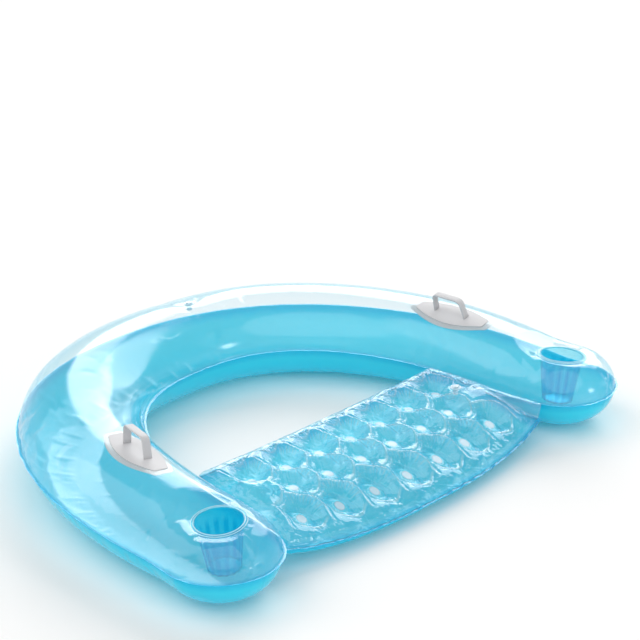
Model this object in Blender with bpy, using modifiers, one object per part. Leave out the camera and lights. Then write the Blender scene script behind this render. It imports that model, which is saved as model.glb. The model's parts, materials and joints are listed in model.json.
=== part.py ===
"""Inflatable pool chair: a horseshoe air tube with a welded seat panel, two cup holders,
two grab handles and two push-in air valves.

Metres, +Z up. The chair lies flat on its underside, with the arm tips towards -Y and the
backrest towards +Y. Everything hangs on the tube's centre line, which runs from the middle
of the back (share 0) to the centre of an arm's round tip (share 1).
"""
import math

import bmesh
import bpy
import numpy as np
from mathutils import Matrix, Vector

# Air tube, plan and sections
RING_HALF_SPAN = 0.520
RING_BACK_REACH = 0.680
ARM_REACH = 0.085
ARM_SPLAY = 0.010
PLAN_POWER = 2.28
BACK_TUBE_WIDTH = 0.274
BACK_TUBE_HEIGHT = 0.200
SIDE_TUBE_WIDTH = 0.264
SIDE_TUBE_HEIGHT = 0.190
TIP_TUBE_WIDTH = 0.244
TIP_TUBE_HEIGHT = 0.172
TIP_BLEND_SHARE = 0.35
BACK_BLEND_SHARE = 0.75
RING_STATIONS = 17
TIP_RAYS = 8
TUBE_ANGLES = (0, 19, 39, 61, 83, 97, 119, 141, 161, 180)

# Vinyl sheets and their welds
SHEET = 0.0008
WELD_WIDTH = 0.006
CLEARANCE = 0.0003

# Seat panel
SEAT_SIDE_GAP = 0.010
SEAT_CORNER_FROM_TIP = 0.0475
SEAT_FRONT_BULGE = 0.050
SEAT_DEPTH = 0.300
SEAT_FRONT_LEVEL = 0.030
SEAT_CORNER_LEVEL = 0.056
SEAT_SAG = 0.006
SEAT_RISE_SHARE = 0.52
SEAT_SWELL = 0.026
SEAT_EDGE_ROUND = 0.034
SEAT_DOT_SIDE_MARGIN = 0.0903
SEAT_DOT_RADIUS = 0.011
SEAT_DOT_DRAW = 0.019
SEAT_ROW_SHARES = (0.255, 0.50, 0.72)
SEAT_COLUMNS = 7
SEAT_VALVE_PAD_SWELL = 0.018
SEAT_MARGIN_LINES = 3
SEAT_CELL_LINES = 4
SEAT_ROW_LINES = (1, 2, 3, 4, 3, 1)

# Cup holders
CUP_MOUTH_RADIUS = 0.0475
CUP_FLOOR_RADIUS = 0.0335
CUP_WALL = 0.0012
CUP_DEPTH = 0.104
CUP_PLAIN_BAND = 0.014
CUP_FLUTE_DEPTH = 0.0018
CUP_FLUTES = 14
CUP_FLOOR_THICKNESS = 0.0020
CUP_MOUTH_LEVEL = 0.153
CUP_OUTWARD_TILT = math.radians(6)
CUP_RIM_WIDTH = 0.0078
CUP_RIM_HEIGHT = 0.0032
RIM_CREST_SHARE = 0.40
RIM_ROUND_SHARE = 0.14
CUP_PAD_ROW = 0.0585
CUP_PAD_REACH = 0.0600
CUP_PULL_REACH = 0.115

# Grab handles
HANDLE_FROM_TIP = 0.290
HANDLE_INWARD = 0.022
PATCH_LENGTH = 0.205
PATCH_WIDTH = 0.102
PATCH_THICKNESS = 0.0010
PLATE_LENGTH = 0.178
PLATE_WIDTH = 0.079
PLATE_THICKNESS = 0.0022
PATCH_CORNER_SHARE = 0.12
PATCH_END_SHARE = 0.50
STRAP_WIDTH = 0.019
STRAP_THICKNESS = 0.0038
STRAP_FOOT_SPAN = 0.084
STRAP_TOP_SPAN = 0.074
STRAP_HEIGHT = 0.044
STRAP_LEAN = 0.013
STRAP_SINK = 0.009
STRAP_BEND = 0.012
STRAP_EDGE_ROUND = 0.0012

# Air valves
VALVE_COLLAR_RADIUS = 0.0130
VALVE_COLLAR_THICKNESS = 0.0012
VALVE_NECK_DEPTH = 0.0015
VALVE_NECK_WALL = 0.0013
STEM_RADIUS = 0.0062
STEM_BORE = 0.0044
STEM_LENGTH = 0.0160
STEM_LIP_RADIUS = 0.0078
STEM_LIP = 0.0012
STEM_BEAD_RADIUS = 0.0071
STEM_BEAD = 0.0010
PLUG_CAP_RADIUS = 0.0070
PLUG_CAP = 0.0015
PLUG_DEPTH = 0.0040
PLUG_TOP_RADIUS = 0.0041
PLUG_END_RADIUS = 0.0034
PLUG_PIVOT = 0.0098
PLUG_STRAP = 0.0040
PLUG_TAB = 0.0065
FLAP_RADIUS = 0.0052
FLAP_THICKNESS = 0.0006
RING_VALVE_STATION = 1

# Cuts and counts
OVERRUN = 0.004
ROUND_SEGMENTS = 36
VALVE_SEGMENTS = 18
PATH_SAMPLES = 600
MERGE = 0.00001

CLEAR = ("clear_vinyl", (0.86, 0.95, 0.98, 1.0), 0.08)
BLUE = ("blue_vinyl", (0.05, 0.56, 0.80, 1.0), 0.10)
CUP_BLUE = ("cup_vinyl", (0.12, 0.62, 0.83, 1.0), 0.12)
WHITE = ("white_vinyl", (0.86, 0.86, 0.88, 1.0), 0.35)
VALVE = ("valve_vinyl", (0.80, 0.88, 0.90, 1.0), 0.20)


def smooth(value):
    """Ease from 0 to 1."""
    held = min(max(value, 0.0), 1.0)
    return held * held * (3.0 - 2.0 * held)


# The air tube's centre line and sections


def tube_size(share, back, side, tip):
    """Width or height along the centre line, which is thickest at the back."""
    from_tip = 1.0 - share
    size = tip + (side - tip) * smooth(from_tip / TIP_BLEND_SHARE)
    start = 1.0 - BACK_BLEND_SHARE
    return size + (back - side) * smooth((from_tip - start) / BACK_BLEND_SHARE)


def tube_half_width(share):
    return tube_size(share, BACK_TUBE_WIDTH, SIDE_TUBE_WIDTH, TIP_TUBE_WIDTH) / 2


def tube_height(share):
    return tube_size(share, BACK_TUBE_HEIGHT, SIDE_TUBE_HEIGHT, TIP_TUBE_HEIGHT)


def seam_level(share):
    return tube_height(share) / 2


def sampled_path():
    """Centre line of the right half as points, with the length up to each."""
    front = ARM_REACH + TIP_TUBE_WIDTH / 2
    back = RING_BACK_REACH + BACK_TUBE_WIDTH / 2
    shoulder_y = (front - back) / 2
    turn = np.linspace(math.pi / 2, 0.0, PATH_SAMPLES)
    power = 2.0 / PLAN_POWER
    bow_x = RING_HALF_SPAN * np.abs(np.cos(turn)) ** power
    bow_y = shoulder_y + RING_BACK_REACH * np.abs(np.sin(turn)) ** power
    bow_x[0] = 0.0
    along = np.linspace(0.0, 1.0, PATH_SAMPLES // 6)[1:]
    arm_x = RING_HALF_SPAN + ARM_SPLAY * along ** 1.5
    arm_y = shoulder_y - ARM_REACH * along
    points = np.column_stack((np.append(bow_x, arm_x), np.append(bow_y, arm_y)))
    steps = np.linalg.norm(np.diff(points, axis=0), axis=1)
    return points, np.append(0.0, np.cumsum(steps))


PATH_POINTS, PATH_LENGTHS = sampled_path()
PATH_TOTAL = PATH_LENGTHS[-1]


def path_point(share):
    length = share * PATH_TOTAL
    x = np.interp(length, PATH_LENGTHS, PATH_POINTS[:, 0])
    y = np.interp(length, PATH_LENGTHS, PATH_POINTS[:, 1])
    return Vector((float(x), float(y), 0.0))


def path_heading(share):
    """Unit direction of the centre line, towards the arm's tip."""
    step = 1.0 / PATH_SAMPLES
    if share < step:
        return Vector((1.0, 0.0, 0.0))
    if share > 1.0 - step:
        return Vector((0.0, -1.0, 0.0))
    return (path_point(share + step) - path_point(share - step)).normalized()


def path_outward(share):
    heading = path_heading(share)
    return Vector((-heading.y, heading.x, 0.0))


TIP_CENTRE = path_point(1.0)
PAD_SHARE = 1.0 - CUP_PAD_ROW / PATH_TOTAL
STATION_SHARES = [PAD_SHARE * number / (RING_STATIONS - 1) for number in range(RING_STATIONS)]
STATION_SHARES.append(1.0)


def cup_plane_level(x):
    """Height of the tilted pad that a cup holder's rim rests on."""
    return CUP_MOUTH_LEVEL - math.tan(CUP_OUTWARD_TILT) * (x - TIP_CENTRE.x)


def pulled_by_cup(point):
    """The top sheet dips round a cup holder, whose welded rim draws it down."""
    excess = point.z - cup_plane_level(point.x)
    if excess <= 0.0:
        return point
    side = abs(point.x - TIP_CENTRE.x)
    back = point.y - TIP_CENTRE.y
    reach = max(side, back) if back > 0.0 else math.hypot(side, back)
    share = (reach - CUP_PAD_REACH) / (CUP_PULL_REACH - CUP_PAD_REACH)
    return Vector((point.x, point.y, point.z - excess * (1.0 - smooth(share))))


def top_surface(share, angle):
    """Outer face of the top sheet, with the angle counted over the tube from its inner seam."""
    base = seam_level(share) + CLEARANCE / 2 + SHEET
    across = -tube_half_width(share) * math.cos(angle)
    point = path_point(share) + path_outward(share) * across
    point.z = base + (tube_height(share) - base) * math.sin(angle)
    return point


def top_section(share):
    """Points across the top sheet, from the inner weld's edge to the outer weld's edge."""
    outward = path_outward(share)
    points = [top_surface(share, math.radians(angle)) for angle in TUBE_ANGLES]
    return [points[0] - outward * WELD_WIDTH] + points + [points[-1] + outward * WELD_WIDTH]


def bottom_section(share):
    """Points across the bottom sheet, whose crown is pressed flat where it lies."""
    outward = path_outward(share)
    base = seam_level(share) - CLEARANCE / 2 - SHEET
    flat_angle = math.radians(TUBE_ANGLES[len(TUBE_ANGLES) // 2 - 1])
    crown = base / math.sin(flat_angle)
    points = []
    for angle in TUBE_ANGLES:
        across = -tube_half_width(share) * math.cos(math.radians(angle))
        point = path_point(share) + outward * across
        point.z = max(base - crown * math.sin(math.radians(angle)), 0.0)
        points.append(point)
    return [points[0] - outward * WELD_WIDTH] + points + [points[-1] + outward * WELD_WIDTH]


def turned_about_tip(points, angle):
    turn = Matrix.Translation(TIP_CENTRE) @ Matrix.Rotation(angle, 4, "Z")
    turn = turn @ Matrix.Translation(-TIP_CENTRE)
    return [turn @ point for point in points]


def tube_rows(section, settle):
    """Rows of points along the tube, then the rays that close its round tip."""
    rows = [section(share) for share in STATION_SHARES]
    outer_half = rows[-1][len(rows[-1]) // 2:]
    rays = []
    for number in range(TIP_RAYS + 1):
        rays.append(turned_about_tip(outer_half, -math.pi * number / TIP_RAYS))
    rows = [[settle(point) for point in row] for row in rows]
    return rows, [[settle(point) for point in ray] for ray in rays]


# Blender helpers


def clear_scene():
    for item in list(bpy.data.objects):
        bpy.data.objects.remove(item, do_unlink=True)


def new_collection(name):
    found = bpy.data.collections.new(name)
    bpy.context.scene.collection.children.link(found)
    return found


clear_scene()
CHAIR = new_collection("pool_chair")
CUTTERS = new_collection("cutters")


def material(finish):
    name, colour, roughness = finish
    found = bpy.data.materials.get(name)
    if found:
        return found
    made = bpy.data.materials.new(name)
    made.use_nodes = True
    shader = made.node_tree.nodes["Principled BSDF"]
    shader.inputs["Base Color"].default_value = colour
    shader.inputs["Roughness"].default_value = roughness
    shader.inputs["Metallic"].default_value = 0.0
    return made


def new_object(name, mesh_or_bmesh, finish=None, cutter=False):
    if isinstance(mesh_or_bmesh, bmesh.types.BMesh):
        mesh = bpy.data.meshes.new(name)
        mesh_or_bmesh.to_mesh(mesh)
        mesh_or_bmesh.free()
    else:
        mesh = mesh_or_bmesh
    made = bpy.data.objects.new(name, mesh)
    if cutter:
        CUTTERS.objects.link(made)
        made.hide_render = True
        made.display_type = "WIRE"
        return made
    CHAIR.objects.link(made)
    if not mesh.materials:
        mesh.materials.append(material(finish))
    return made


def shade_round(made):
    made.data.shade_smooth()
    made.data.set_sharp_from_angle(angle=math.radians(40))


def solidify(made, thickness):
    shell = made.modifiers.new("thickness", "SOLIDIFY")
    shell.thickness = thickness
    shell.offset = -1.0
    shell.use_even_offset = True
    shell.use_rim = True


def mirror_halves(made):
    halves = made.modifiers.new("other_half", "MIRROR")
    halves.use_axis = (True, False, False)
    halves.use_clip = True
    halves.merge_threshold = MERGE


def cut(made, cutter, operation="DIFFERENCE"):
    boolean = made.modifiers.new(cutter.name, "BOOLEAN")
    boolean.operation = operation
    boolean.solver = "EXACT"
    boolean.object = cutter


def joined(made, other):
    """Fuse another body into a piece, and leave one mesh with no modifiers."""
    union = made.modifiers.new("join_" + other.name, "BOOLEAN")
    union.operation = "UNION"
    union.solver = "EXACT"
    union.object = other
    bpy.context.view_layer.update()
    graph = bpy.context.evaluated_depsgraph_get()
    mesh = bpy.data.meshes.new_from_object(made.evaluated_get(graph))
    made.modifiers.clear()
    made.data = mesh
    bpy.data.objects.remove(other, do_unlink=True)


def as_mesh(made):
    """Turn a curve or a piece with modifiers into a plain closed mesh in its place."""
    bpy.context.view_layer.update()
    graph = bpy.context.evaluated_depsgraph_get()
    mesh = bpy.data.meshes.new_from_object(made.evaluated_get(graph))
    body = bmesh.new()
    body.from_mesh(mesh)
    bmesh.ops.remove_doubles(body, verts=body.verts, dist=MERGE)
    body.to_mesh(mesh)
    body.free()
    solid = bpy.data.objects.new(made.name + "_solid", mesh)
    CHAIR.objects.link(solid)
    solid.matrix_world = made.matrix_world.copy()
    bpy.data.objects.remove(made, do_unlink=True)
    return solid


def loft(body, rows, flip=False):
    """Quads between rows of points, one row for each section."""
    lines = [[body.verts.new(point) for point in row] for row in rows]
    for before, after in zip(lines, lines[1:]):
        for column in range(len(before) - 1):
            corners = [before[column], after[column], after[column + 1], before[column + 1]]
            if flip:
                corners.reverse()
            body.faces.new(corners)
    return lines


def split_quads(body):
    """Split every quad the same way, so that sheets laid on each other keep their gap."""
    quads = [face for face in body.faces if len(face.verts) == 4]
    bmesh.ops.triangulate(body, faces=quads, quad_method="FIXED")


def turned(name, profile, finish, segments, cutter=False):
    """A turned piece from a profile of (radius, height), run down its outer side."""
    body = bmesh.new()
    points = [body.verts.new((radius, 0.0, height)) for radius, height in profile]
    for before, after in zip(points, points[1:]):
        body.edges.new((before, after))
    if profile[0][0] > 0.0:
        body.edges.new((points[-1], points[0]))
    made = new_object(name, body, finish, cutter)
    screw = made.modifiers.new("turn", "SCREW")
    screw.axis = "Z"
    screw.steps = segments
    screw.render_steps = segments
    screw.use_merge_vertices = True
    screw.merge_threshold = MERGE
    screw.use_smooth_shade = True
    return made


def other_side(made, name):
    """The left-hand copy of a right-hand piece."""
    bpy.context.view_layer.update()
    graph = bpy.context.evaluated_depsgraph_get()
    mesh = bpy.data.meshes.new_from_object(made.evaluated_get(graph))
    mesh.transform(Matrix.Scale(-1.0, 4, Vector((1.0, 0.0, 0.0))) @ made.matrix_world)
    mesh.flip_normals()
    return new_object(name, mesh)


def box(name, low, high, finish):
    body = bmesh.new()
    bmesh.ops.create_cube(body, size=1.0)
    centre = (Vector(low) + Vector(high)) / 2
    spread = Vector(high) - Vector(low)
    for vert in body.verts:
        vert.co = Vector([vert.co[axis] * spread[axis] for axis in range(3)]) + centre
    return new_object(name, body, finish)


def frame_at(origin, forward, normal):
    """Matrix whose X runs forward and whose Z is the normal."""
    up = normal.normalized()
    side = up.cross(forward).normalized()
    ahead = side.cross(up)
    turn = Matrix((ahead, side, up)).transposed().to_4x4()
    return Matrix.Translation(origin) @ turn


# Ring sheets


def ring_sheet(name, section, settle, finish, flip):
    rows, rays = tube_rows(section, settle)
    body = bmesh.new()
    loft(body, rows, flip)
    ray_lines = loft(body, rays, flip)
    rim = [line[0] for line in ray_lines]
    body.faces.new(rim if flip else rim[::-1])
    bmesh.ops.remove_doubles(body, verts=body.verts, dist=MERGE)
    split_quads(body)
    made = new_object(name, body, finish)
    mirror_halves(made)
    solidify(made, SHEET)
    shade_round(made)
    return made


def cup_frame(side):
    """Frame of a cup holder's mouth, with its Z along the cup's axis."""
    origin = Vector((side * TIP_CENTRE.x, TIP_CENTRE.y, CUP_MOUTH_LEVEL))
    turn = Matrix.Rotation(side * CUP_OUTWARD_TILT, 4, "Y")
    return Matrix.Translation(origin) @ turn


def cup_hole_cutter(side, label):
    cutter = turned(
        "cut_cup_hole_" + label,
        (
            (0.0, CUP_RIM_HEIGHT + OVERRUN),
            (CUP_MOUTH_RADIUS + CUP_WALL + CLEARANCE, CUP_RIM_HEIGHT + OVERRUN),
            (CUP_MOUTH_RADIUS + CUP_WALL + CLEARANCE, -CUP_PLAIN_BAND),
            (0.0, -CUP_PLAIN_BAND),
        ),
        None,
        ROUND_SEGMENTS,
        cutter=True,
    )
    cutter.matrix_world = cup_frame(side)
    return cutter


def valve_hole_cutter(label, place):
    radius = STEM_RADIUS + CLEARANCE + VALVE_NECK_WALL + CLEARANCE
    cutter = turned(
        "cut_valve_hole_" + label,
        ((0.0, OVERRUN), (radius, OVERRUN), (radius, -OVERRUN), (0.0, -OVERRUN)),
        None,
        VALVE_SEGMENTS,
        cutter=True,
    )
    cutter.matrix_world = place
    return cutter


def ring_valve_frame():
    """Frame on the flat facet at the top of the tube, beside the middle of the back."""
    middle = len(TUBE_ANGLES) // 2
    corners = []
    for share in STATION_SHARES[RING_VALVE_STATION:RING_VALVE_STATION + 2]:
        row = top_section(share)
        corners += [row[middle], row[middle + 1]]
    origin = sum(corners, Vector()) / len(corners)
    along = (corners[2] - corners[0]).normalized()
    across = corners[1] - corners[0]
    normal = across.cross(along)
    if normal.z < 0.0:
        normal.negate()
    return frame_at(origin, along, normal)


def build_ring():
    top = ring_sheet("ring_top_sheet", top_section, pulled_by_cup, CLEAR, flip=False)
    ring_sheet("ring_bottom_sheet", bottom_section, lambda point: point, BLUE, flip=True)
    cut(top, cup_hole_cutter(1.0, "right"))
    cut(top, cup_hole_cutter(-1.0, "left"))
    cut(top, valve_hole_cutter("ring", ring_valve_frame()))


# Seat panel


def inner_edge_samples():
    """Corners of the tube's inner weld edge, from the back to its tip: y, x and level."""
    rows, rays = tube_rows(top_section, lambda point: point)
    back = RING_STATIONS // 2
    corners = [row[0] for row in rows[back:]] + [ray[-1] for ray in rays[:TIP_RAYS // 2:-1]]
    lift = CLEARANCE / 2 + SHEET
    return np.array(sorted((point.y, point.x, point.z - lift) for point in corners))


INNER_EDGE = inner_edge_samples()


def inner_edge_x(y):
    return float(np.interp(y, INNER_EDGE[:, 0], INNER_EDGE[:, 1]))


def inner_edge_level(y):
    return float(np.interp(y, INNER_EDGE[:, 0], INNER_EDGE[:, 2]))


SEAT_CORNER_Y = TIP_CENTRE.y - SEAT_CORNER_FROM_TIP
SEAT_BACK_Y = SEAT_CORNER_Y + SEAT_DEPTH
SEAT_HALF_WIDTH = inner_edge_x((SEAT_CORNER_Y + SEAT_BACK_Y) / 2) - SEAT_SIDE_GAP
SEAT_OUTER_COLUMN = SEAT_HALF_WIDTH - SEAT_DOT_SIDE_MARGIN
SEAT_DOT_PITCH = SEAT_OUTER_COLUMN * 2 / (SEAT_COLUMNS - 1)
SEAT_DOT_COLUMNS = [
    number * SEAT_DOT_PITCH - SEAT_OUTER_COLUMN for number in range(SEAT_COLUMNS)
]
SEAT_DOT_ROWS = [share * SEAT_DEPTH for share in SEAT_ROW_SHARES]

# Every second row of dots stands between the columns of its neighbours
SEAT_DOTS = []
for number, row in enumerate(SEAT_DOT_ROWS):
    if number % 2:
        between = zip(SEAT_DOT_COLUMNS, SEAT_DOT_COLUMNS[1:])
        SEAT_DOTS += [((before + after) / 2, row) for before, after in between]
    else:
        SEAT_DOTS += [(column, row) for column in SEAT_DOT_COLUMNS]

# The seat's valve stands on a flat pad, one cell of the sheet's lines to each side of it
SEAT_MARGIN_CELL = (SEAT_DOT_SIDE_MARGIN - WELD_WIDTH) / SEAT_MARGIN_LINES
SEAT_VALVE_SPOT = (
    SEAT_OUTER_COLUMN + SEAT_MARGIN_CELL,
    (SEAT_DOT_ROWS[1] + SEAT_DOT_ROWS[2]) / 2,
)
SEAT_VALVE_PAD_REACH = (
    SEAT_MARGIN_CELL + CLEARANCE,
    (SEAT_DOT_ROWS[2] - SEAT_DOT_ROWS[1]) / SEAT_ROW_LINES[3] + CLEARANCE,
)


def seat_middle(across, along):
    """Middle surface of the panel: across from -1 to 1, along from 0 at the front to 1."""
    side = abs(across)
    front_y = SEAT_CORNER_Y - SEAT_FRONT_BULGE * (1.0 - side ** 2.2)
    y = front_y + (SEAT_BACK_Y - front_y) * along
    front_z = SEAT_FRONT_LEVEL + (SEAT_CORNER_LEVEL - SEAT_FRONT_LEVEL) * side ** 4
    held_y = SEAT_CORNER_Y + (SEAT_BACK_Y - SEAT_CORNER_Y) * along
    back_z = inner_edge_level(held_y) - SEAT_SAG * (1.0 - side ** 2)
    z = front_z + (back_z - front_z) * smooth(along / SEAT_RISE_SHARE)
    x = across * (inner_edge_x(held_y) - SEAT_SIDE_GAP)
    return Vector((x, y, z))


def seat_normal(across, along):
    step = 1.0 / PATH_SAMPLES
    sideways = seat_middle(across + step, along) - seat_middle(across - step, along)
    backwards = seat_middle(across, along + step) - seat_middle(across, along - step)
    return sideways.cross(backwards).normalized()


def seat_swell(u, v):
    """Half the panel's thickness at a place of its flat pattern: none at welds and dots."""
    sides = SEAT_HALF_WIDTH - WELD_WIDTH - abs(u)
    ends = min(v, SEAT_DEPTH - v) - WELD_WIDTH
    inside = min(max(min(sides, ends) / SEAT_EDGE_ROUND, 0.0), 1.0)
    swell = SEAT_SWELL * math.sqrt(1.0 - (1.0 - inside) ** 2)
    beside = abs(u - SEAT_VALVE_SPOT[0]) < SEAT_VALVE_PAD_REACH[0]
    if beside and abs(v - SEAT_VALVE_SPOT[1]) < SEAT_VALVE_PAD_REACH[1]:
        return SEAT_VALVE_PAD_SWELL
    for dot_u, dot_v in SEAT_DOTS:
        away = max(math.hypot(u - dot_u, v - dot_v) - SEAT_DOT_RADIUS, 0.0)
        swell *= 1.0 - math.exp(-away ** 2 / (2.0 * SEAT_DOT_DRAW ** 2))
    return swell


def seat_point(u, v, face):
    """A point of the panel's upper (face 1) or lower (face -1) outer surface."""
    across = u / SEAT_HALF_WIDTH
    along = v / SEAT_DEPTH
    lift = seat_swell(u, v) + CLEARANCE / 2 + SHEET
    return seat_middle(across, along) + seat_normal(across, along) * (face * lift)


def spread_lines(marks, counts):
    """Lines between marks, each stretch split into its own count."""
    lines = [marks[0]]
    for before, after, count in zip(marks, marks[1:], counts):
        lines += [before + (after - before) * (number + 1) / count for number in range(count)]
    return lines


def seat_lines():
    edge = SEAT_HALF_WIDTH
    marks = [-edge, -edge + WELD_WIDTH] + SEAT_DOT_COLUMNS + [edge - WELD_WIDTH, edge]
    counts = [1, SEAT_MARGIN_LINES] + [SEAT_CELL_LINES] * (SEAT_COLUMNS - 1)
    across = spread_lines(marks, counts + [SEAT_MARGIN_LINES, 1])
    marks = [0.0, WELD_WIDTH] + SEAT_DOT_ROWS + [SEAT_DEPTH - WELD_WIDTH, SEAT_DEPTH]
    return across, spread_lines(marks, SEAT_ROW_LINES)


def seat_sheet(name, face, finish):
    """A flat sheet with round weld dots, drawn out to its inflated form."""
    across, along = seat_lines()
    body = bmesh.new()
    loft(body, [[(u, v, 0.0) for u in across] for v in along], flip=face > 0)
    centres = []
    for vert in body.verts:
        for dot_u, dot_v in SEAT_DOTS:
            if math.hypot(vert.co.x - dot_u, vert.co.y - dot_v) < MERGE:
                centres.append(vert)
    bmesh.ops.bevel(
        body,
        geom=centres,
        offset=SEAT_DOT_RADIUS,
        offset_type="OFFSET",
        segments=2,
        profile=0.5,
        affect="VERTICES",
        material=-1,
    )
    for vert in body.verts:
        vert.co = seat_point(vert.co.x, vert.co.y, face)
    made = new_object(name, body, finish)
    solidify(made, SHEET)
    shade_round(made)
    return made


def seat_valve_frame():
    u, v = SEAT_VALVE_SPOT
    origin = seat_point(u, v, 1.0)
    normal = seat_normal(u / SEAT_HALF_WIDTH, v / SEAT_DEPTH)
    return frame_at(origin, Vector((-1.0, 0.0, 0.0)), normal)


def side_flap(name, side):
    """A strip of sheet that laps over the tube's inner weld and the panel's side weld."""
    seat_lift = CLEARANCE / 2 + SHEET + CLEARANCE + SHEET
    ring_lift = CLEARANCE / 2 + SHEET + CLEARANCE + SHEET
    rows = []
    for v in seat_lines()[1][1:-1]:
        along = v / SEAT_DEPTH
        edge = seat_middle(side, along) + seat_normal(side, along) * seat_lift
        inset = 1.0 - WELD_WIDTH / SEAT_HALF_WIDTH
        lap = seat_middle(side * inset, along) + seat_normal(side * inset, along) * seat_lift
        held_y = SEAT_CORNER_Y + (SEAT_BACK_Y - SEAT_CORNER_Y) * along
        level = inner_edge_level(held_y) + ring_lift
        weld = side * inner_edge_x(held_y)
        wall = weld + side * (WELD_WIDTH - SHEET - CLEARANCE)
        fold = weld - side * SHEET * 2.0
        rows.append([Vector((wall, held_y, level)), Vector((fold, held_y, level)), edge, lap])
    body = bmesh.new()
    loft(body, rows, flip=side < 0)
    made = new_object(name, body, CLEAR)
    solidify(made, SHEET)
    return made


def build_seat():
    top = seat_sheet("seat_top_sheet", 1.0, CLEAR)
    seat_sheet("seat_bottom_sheet", -1.0, BLUE)
    cut(top, valve_hole_cutter("seat", seat_valve_frame()))
    side_flap("seat_flap_right", 1.0)
    side_flap("seat_flap_left", -1.0)


# Cup holders


def fluted_radius(angle, depth, inset):
    """Outer radius of a cup holder's wall at a depth under its mouth, less an inset."""
    taper = depth / CUP_DEPTH
    plain = CUP_MOUTH_RADIUS + (CUP_FLOOR_RADIUS - CUP_MOUTH_RADIUS) * taper + CUP_WALL
    strength = smooth((depth - CUP_PLAIN_BAND) / CUP_PLAIN_BAND)
    wave = CUP_FLUTE_DEPTH * strength * (math.cos(CUP_FLUTES * angle) - 1.0) / 2
    return plain + wave - inset


def cup_wall():
    segments = CUP_FLUTES * 4
    rows = []
    for depth in (-CUP_RIM_HEIGHT, CUP_PLAIN_BAND, CUP_PLAIN_BAND * 2.0, CUP_DEPTH):
        row = []
        for number in range(segments + 1):
            angle = 2.0 * math.pi * number / segments
            radius = fluted_radius(angle, max(depth, 0.0), 0.0)
            row.append((radius * math.cos(angle), radius * math.sin(angle), -depth))
        rows.append(row)
    body = bmesh.new()
    loft(body, rows)
    bmesh.ops.remove_doubles(body, verts=body.verts, dist=MERGE)
    made = new_object("cup_wall_right", body, CUP_BLUE)
    solidify(made, CUP_WALL)
    shade_round(made)
    return made


def cup_floor():
    """The disc welded in the foot of a cup's wall, which follows its flutes."""
    segments = CUP_FLUTES * 4
    top = CUP_DEPTH - CUP_FLOOR_THICKNESS - CLEARANCE
    body = bmesh.new()
    ring = []
    for number in range(segments):
        angle = 2.0 * math.pi * number / segments
        radius = fluted_radius(angle, CUP_DEPTH, CUP_WALL + CLEARANCE + CLEARANCE)
        point = (radius * math.cos(angle), radius * math.sin(angle), -top)
        ring.append(body.verts.new(point))
    body.faces.new(ring)
    made = new_object("cup_floor_right", body, CUP_BLUE)
    solidify(made, CUP_FLOOR_THICKNESS)
    return made


def cup_rim():
    inner = CUP_MOUTH_RADIUS + CUP_WALL + CLEARANCE
    outer = inner + CUP_RIM_WIDTH
    return turned(
        "cup_rim_right",
        (
            (inner, CUP_RIM_HEIGHT),
            (inner + CUP_RIM_WIDTH * RIM_CREST_SHARE, CUP_RIM_HEIGHT),
            (outer - CUP_RIM_WIDTH * RIM_ROUND_SHARE, CUP_RIM_HEIGHT / 2),
            (outer, CLEARANCE + SHEET),
            (outer, CLEARANCE),
            (inner, CLEARANCE),
        ),
        CUP_BLUE,
        ROUND_SEGMENTS,
    )


def build_cups():
    pieces = (("cup_wall", cup_wall()), ("cup_floor", cup_floor()), ("cup_rim", cup_rim()))
    for name, made in pieces:
        made.matrix_world = cup_frame(1.0)
        other_side(made, name + "_left")


# Grab handles


HANDLE_SHARE = 1.0 - HANDLE_FROM_TIP / PATH_TOTAL
HANDLE_ANGLE = math.acos(HANDLE_INWARD / tube_half_width(HANDLE_SHARE))


def handle_frame():
    """Frame on the right arm's top: X towards the arm's tip and Z off the skin."""
    origin = top_surface(HANDLE_SHARE, HANDLE_ANGLE)
    step = 1.0 / PATH_SAMPLES
    ahead = top_surface(HANDLE_SHARE + step, HANDLE_ANGLE) - origin
    over = top_surface(HANDLE_SHARE, HANDLE_ANGLE + step) - origin
    normal = over.cross(ahead)
    if normal.z < 0.0:
        normal.negate()
    return frame_at(origin, ahead, normal)


def skin_layer(name, lift, thickness, cutter=False):
    """A shell that runs parallel to the top sheet round the handle, lifted off its facets."""
    reach = PATCH_LENGTH / PATH_TOTAL
    near = [share for share in STATION_SHARES if abs(share - HANDLE_SHARE) < reach]
    rows = [top_section(share)[1:-1] for share in near]
    body = bmesh.new()
    loft(body, rows)
    split_quads(body)
    body.normal_update()
    places = [vert.co + vert.normal * (lift * vert.calc_shell_factor()) for vert in body.verts]
    for vert, place in zip(body.verts, places):
        vert.co = place
    made = new_object(name, body, WHITE, cutter)
    solidify(made, thickness)
    return made


def barrel_outline(length, width):
    """Outline of a handle's patch: bowed long sides, and short straight ends."""
    half_length = length / 2
    half_width = width / 2
    corner = PATCH_CORNER_SHARE * width
    end = half_width * PATCH_END_SHARE
    points = []
    for number in range(9):
        share = number / 8 * 2.0 - 1.0
        bow = half_width - (half_width - end) * share ** 2
        points.append((share * (half_length - corner), bow))
    points.append((half_length - corner * 0.2, end - corner * 0.4))
    points.append((half_length, end - corner))
    return points + [(-forward, -sideways) for forward, sideways in points]


def barrel_prism(name, length, width):
    body = bmesh.new()
    low = -STRAP_HEIGHT
    ring = [body.verts.new((along, over, low)) for along, over in barrel_outline(length, width)]
    base = body.faces.new(ring)
    made = bmesh.ops.extrude_face_region(body, geom=[base])
    raised = [item for item in made["geom"] if isinstance(item, bmesh.types.BMVert)]
    bmesh.ops.translate(body, verts=raised, vec=(0.0, 0.0, STRAP_HEIGHT * 2.0))
    bmesh.ops.recalc_face_normals(body, faces=body.faces)
    prism = new_object(name, body, None, cutter=True)
    prism.matrix_world = handle_frame()
    return prism


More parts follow.
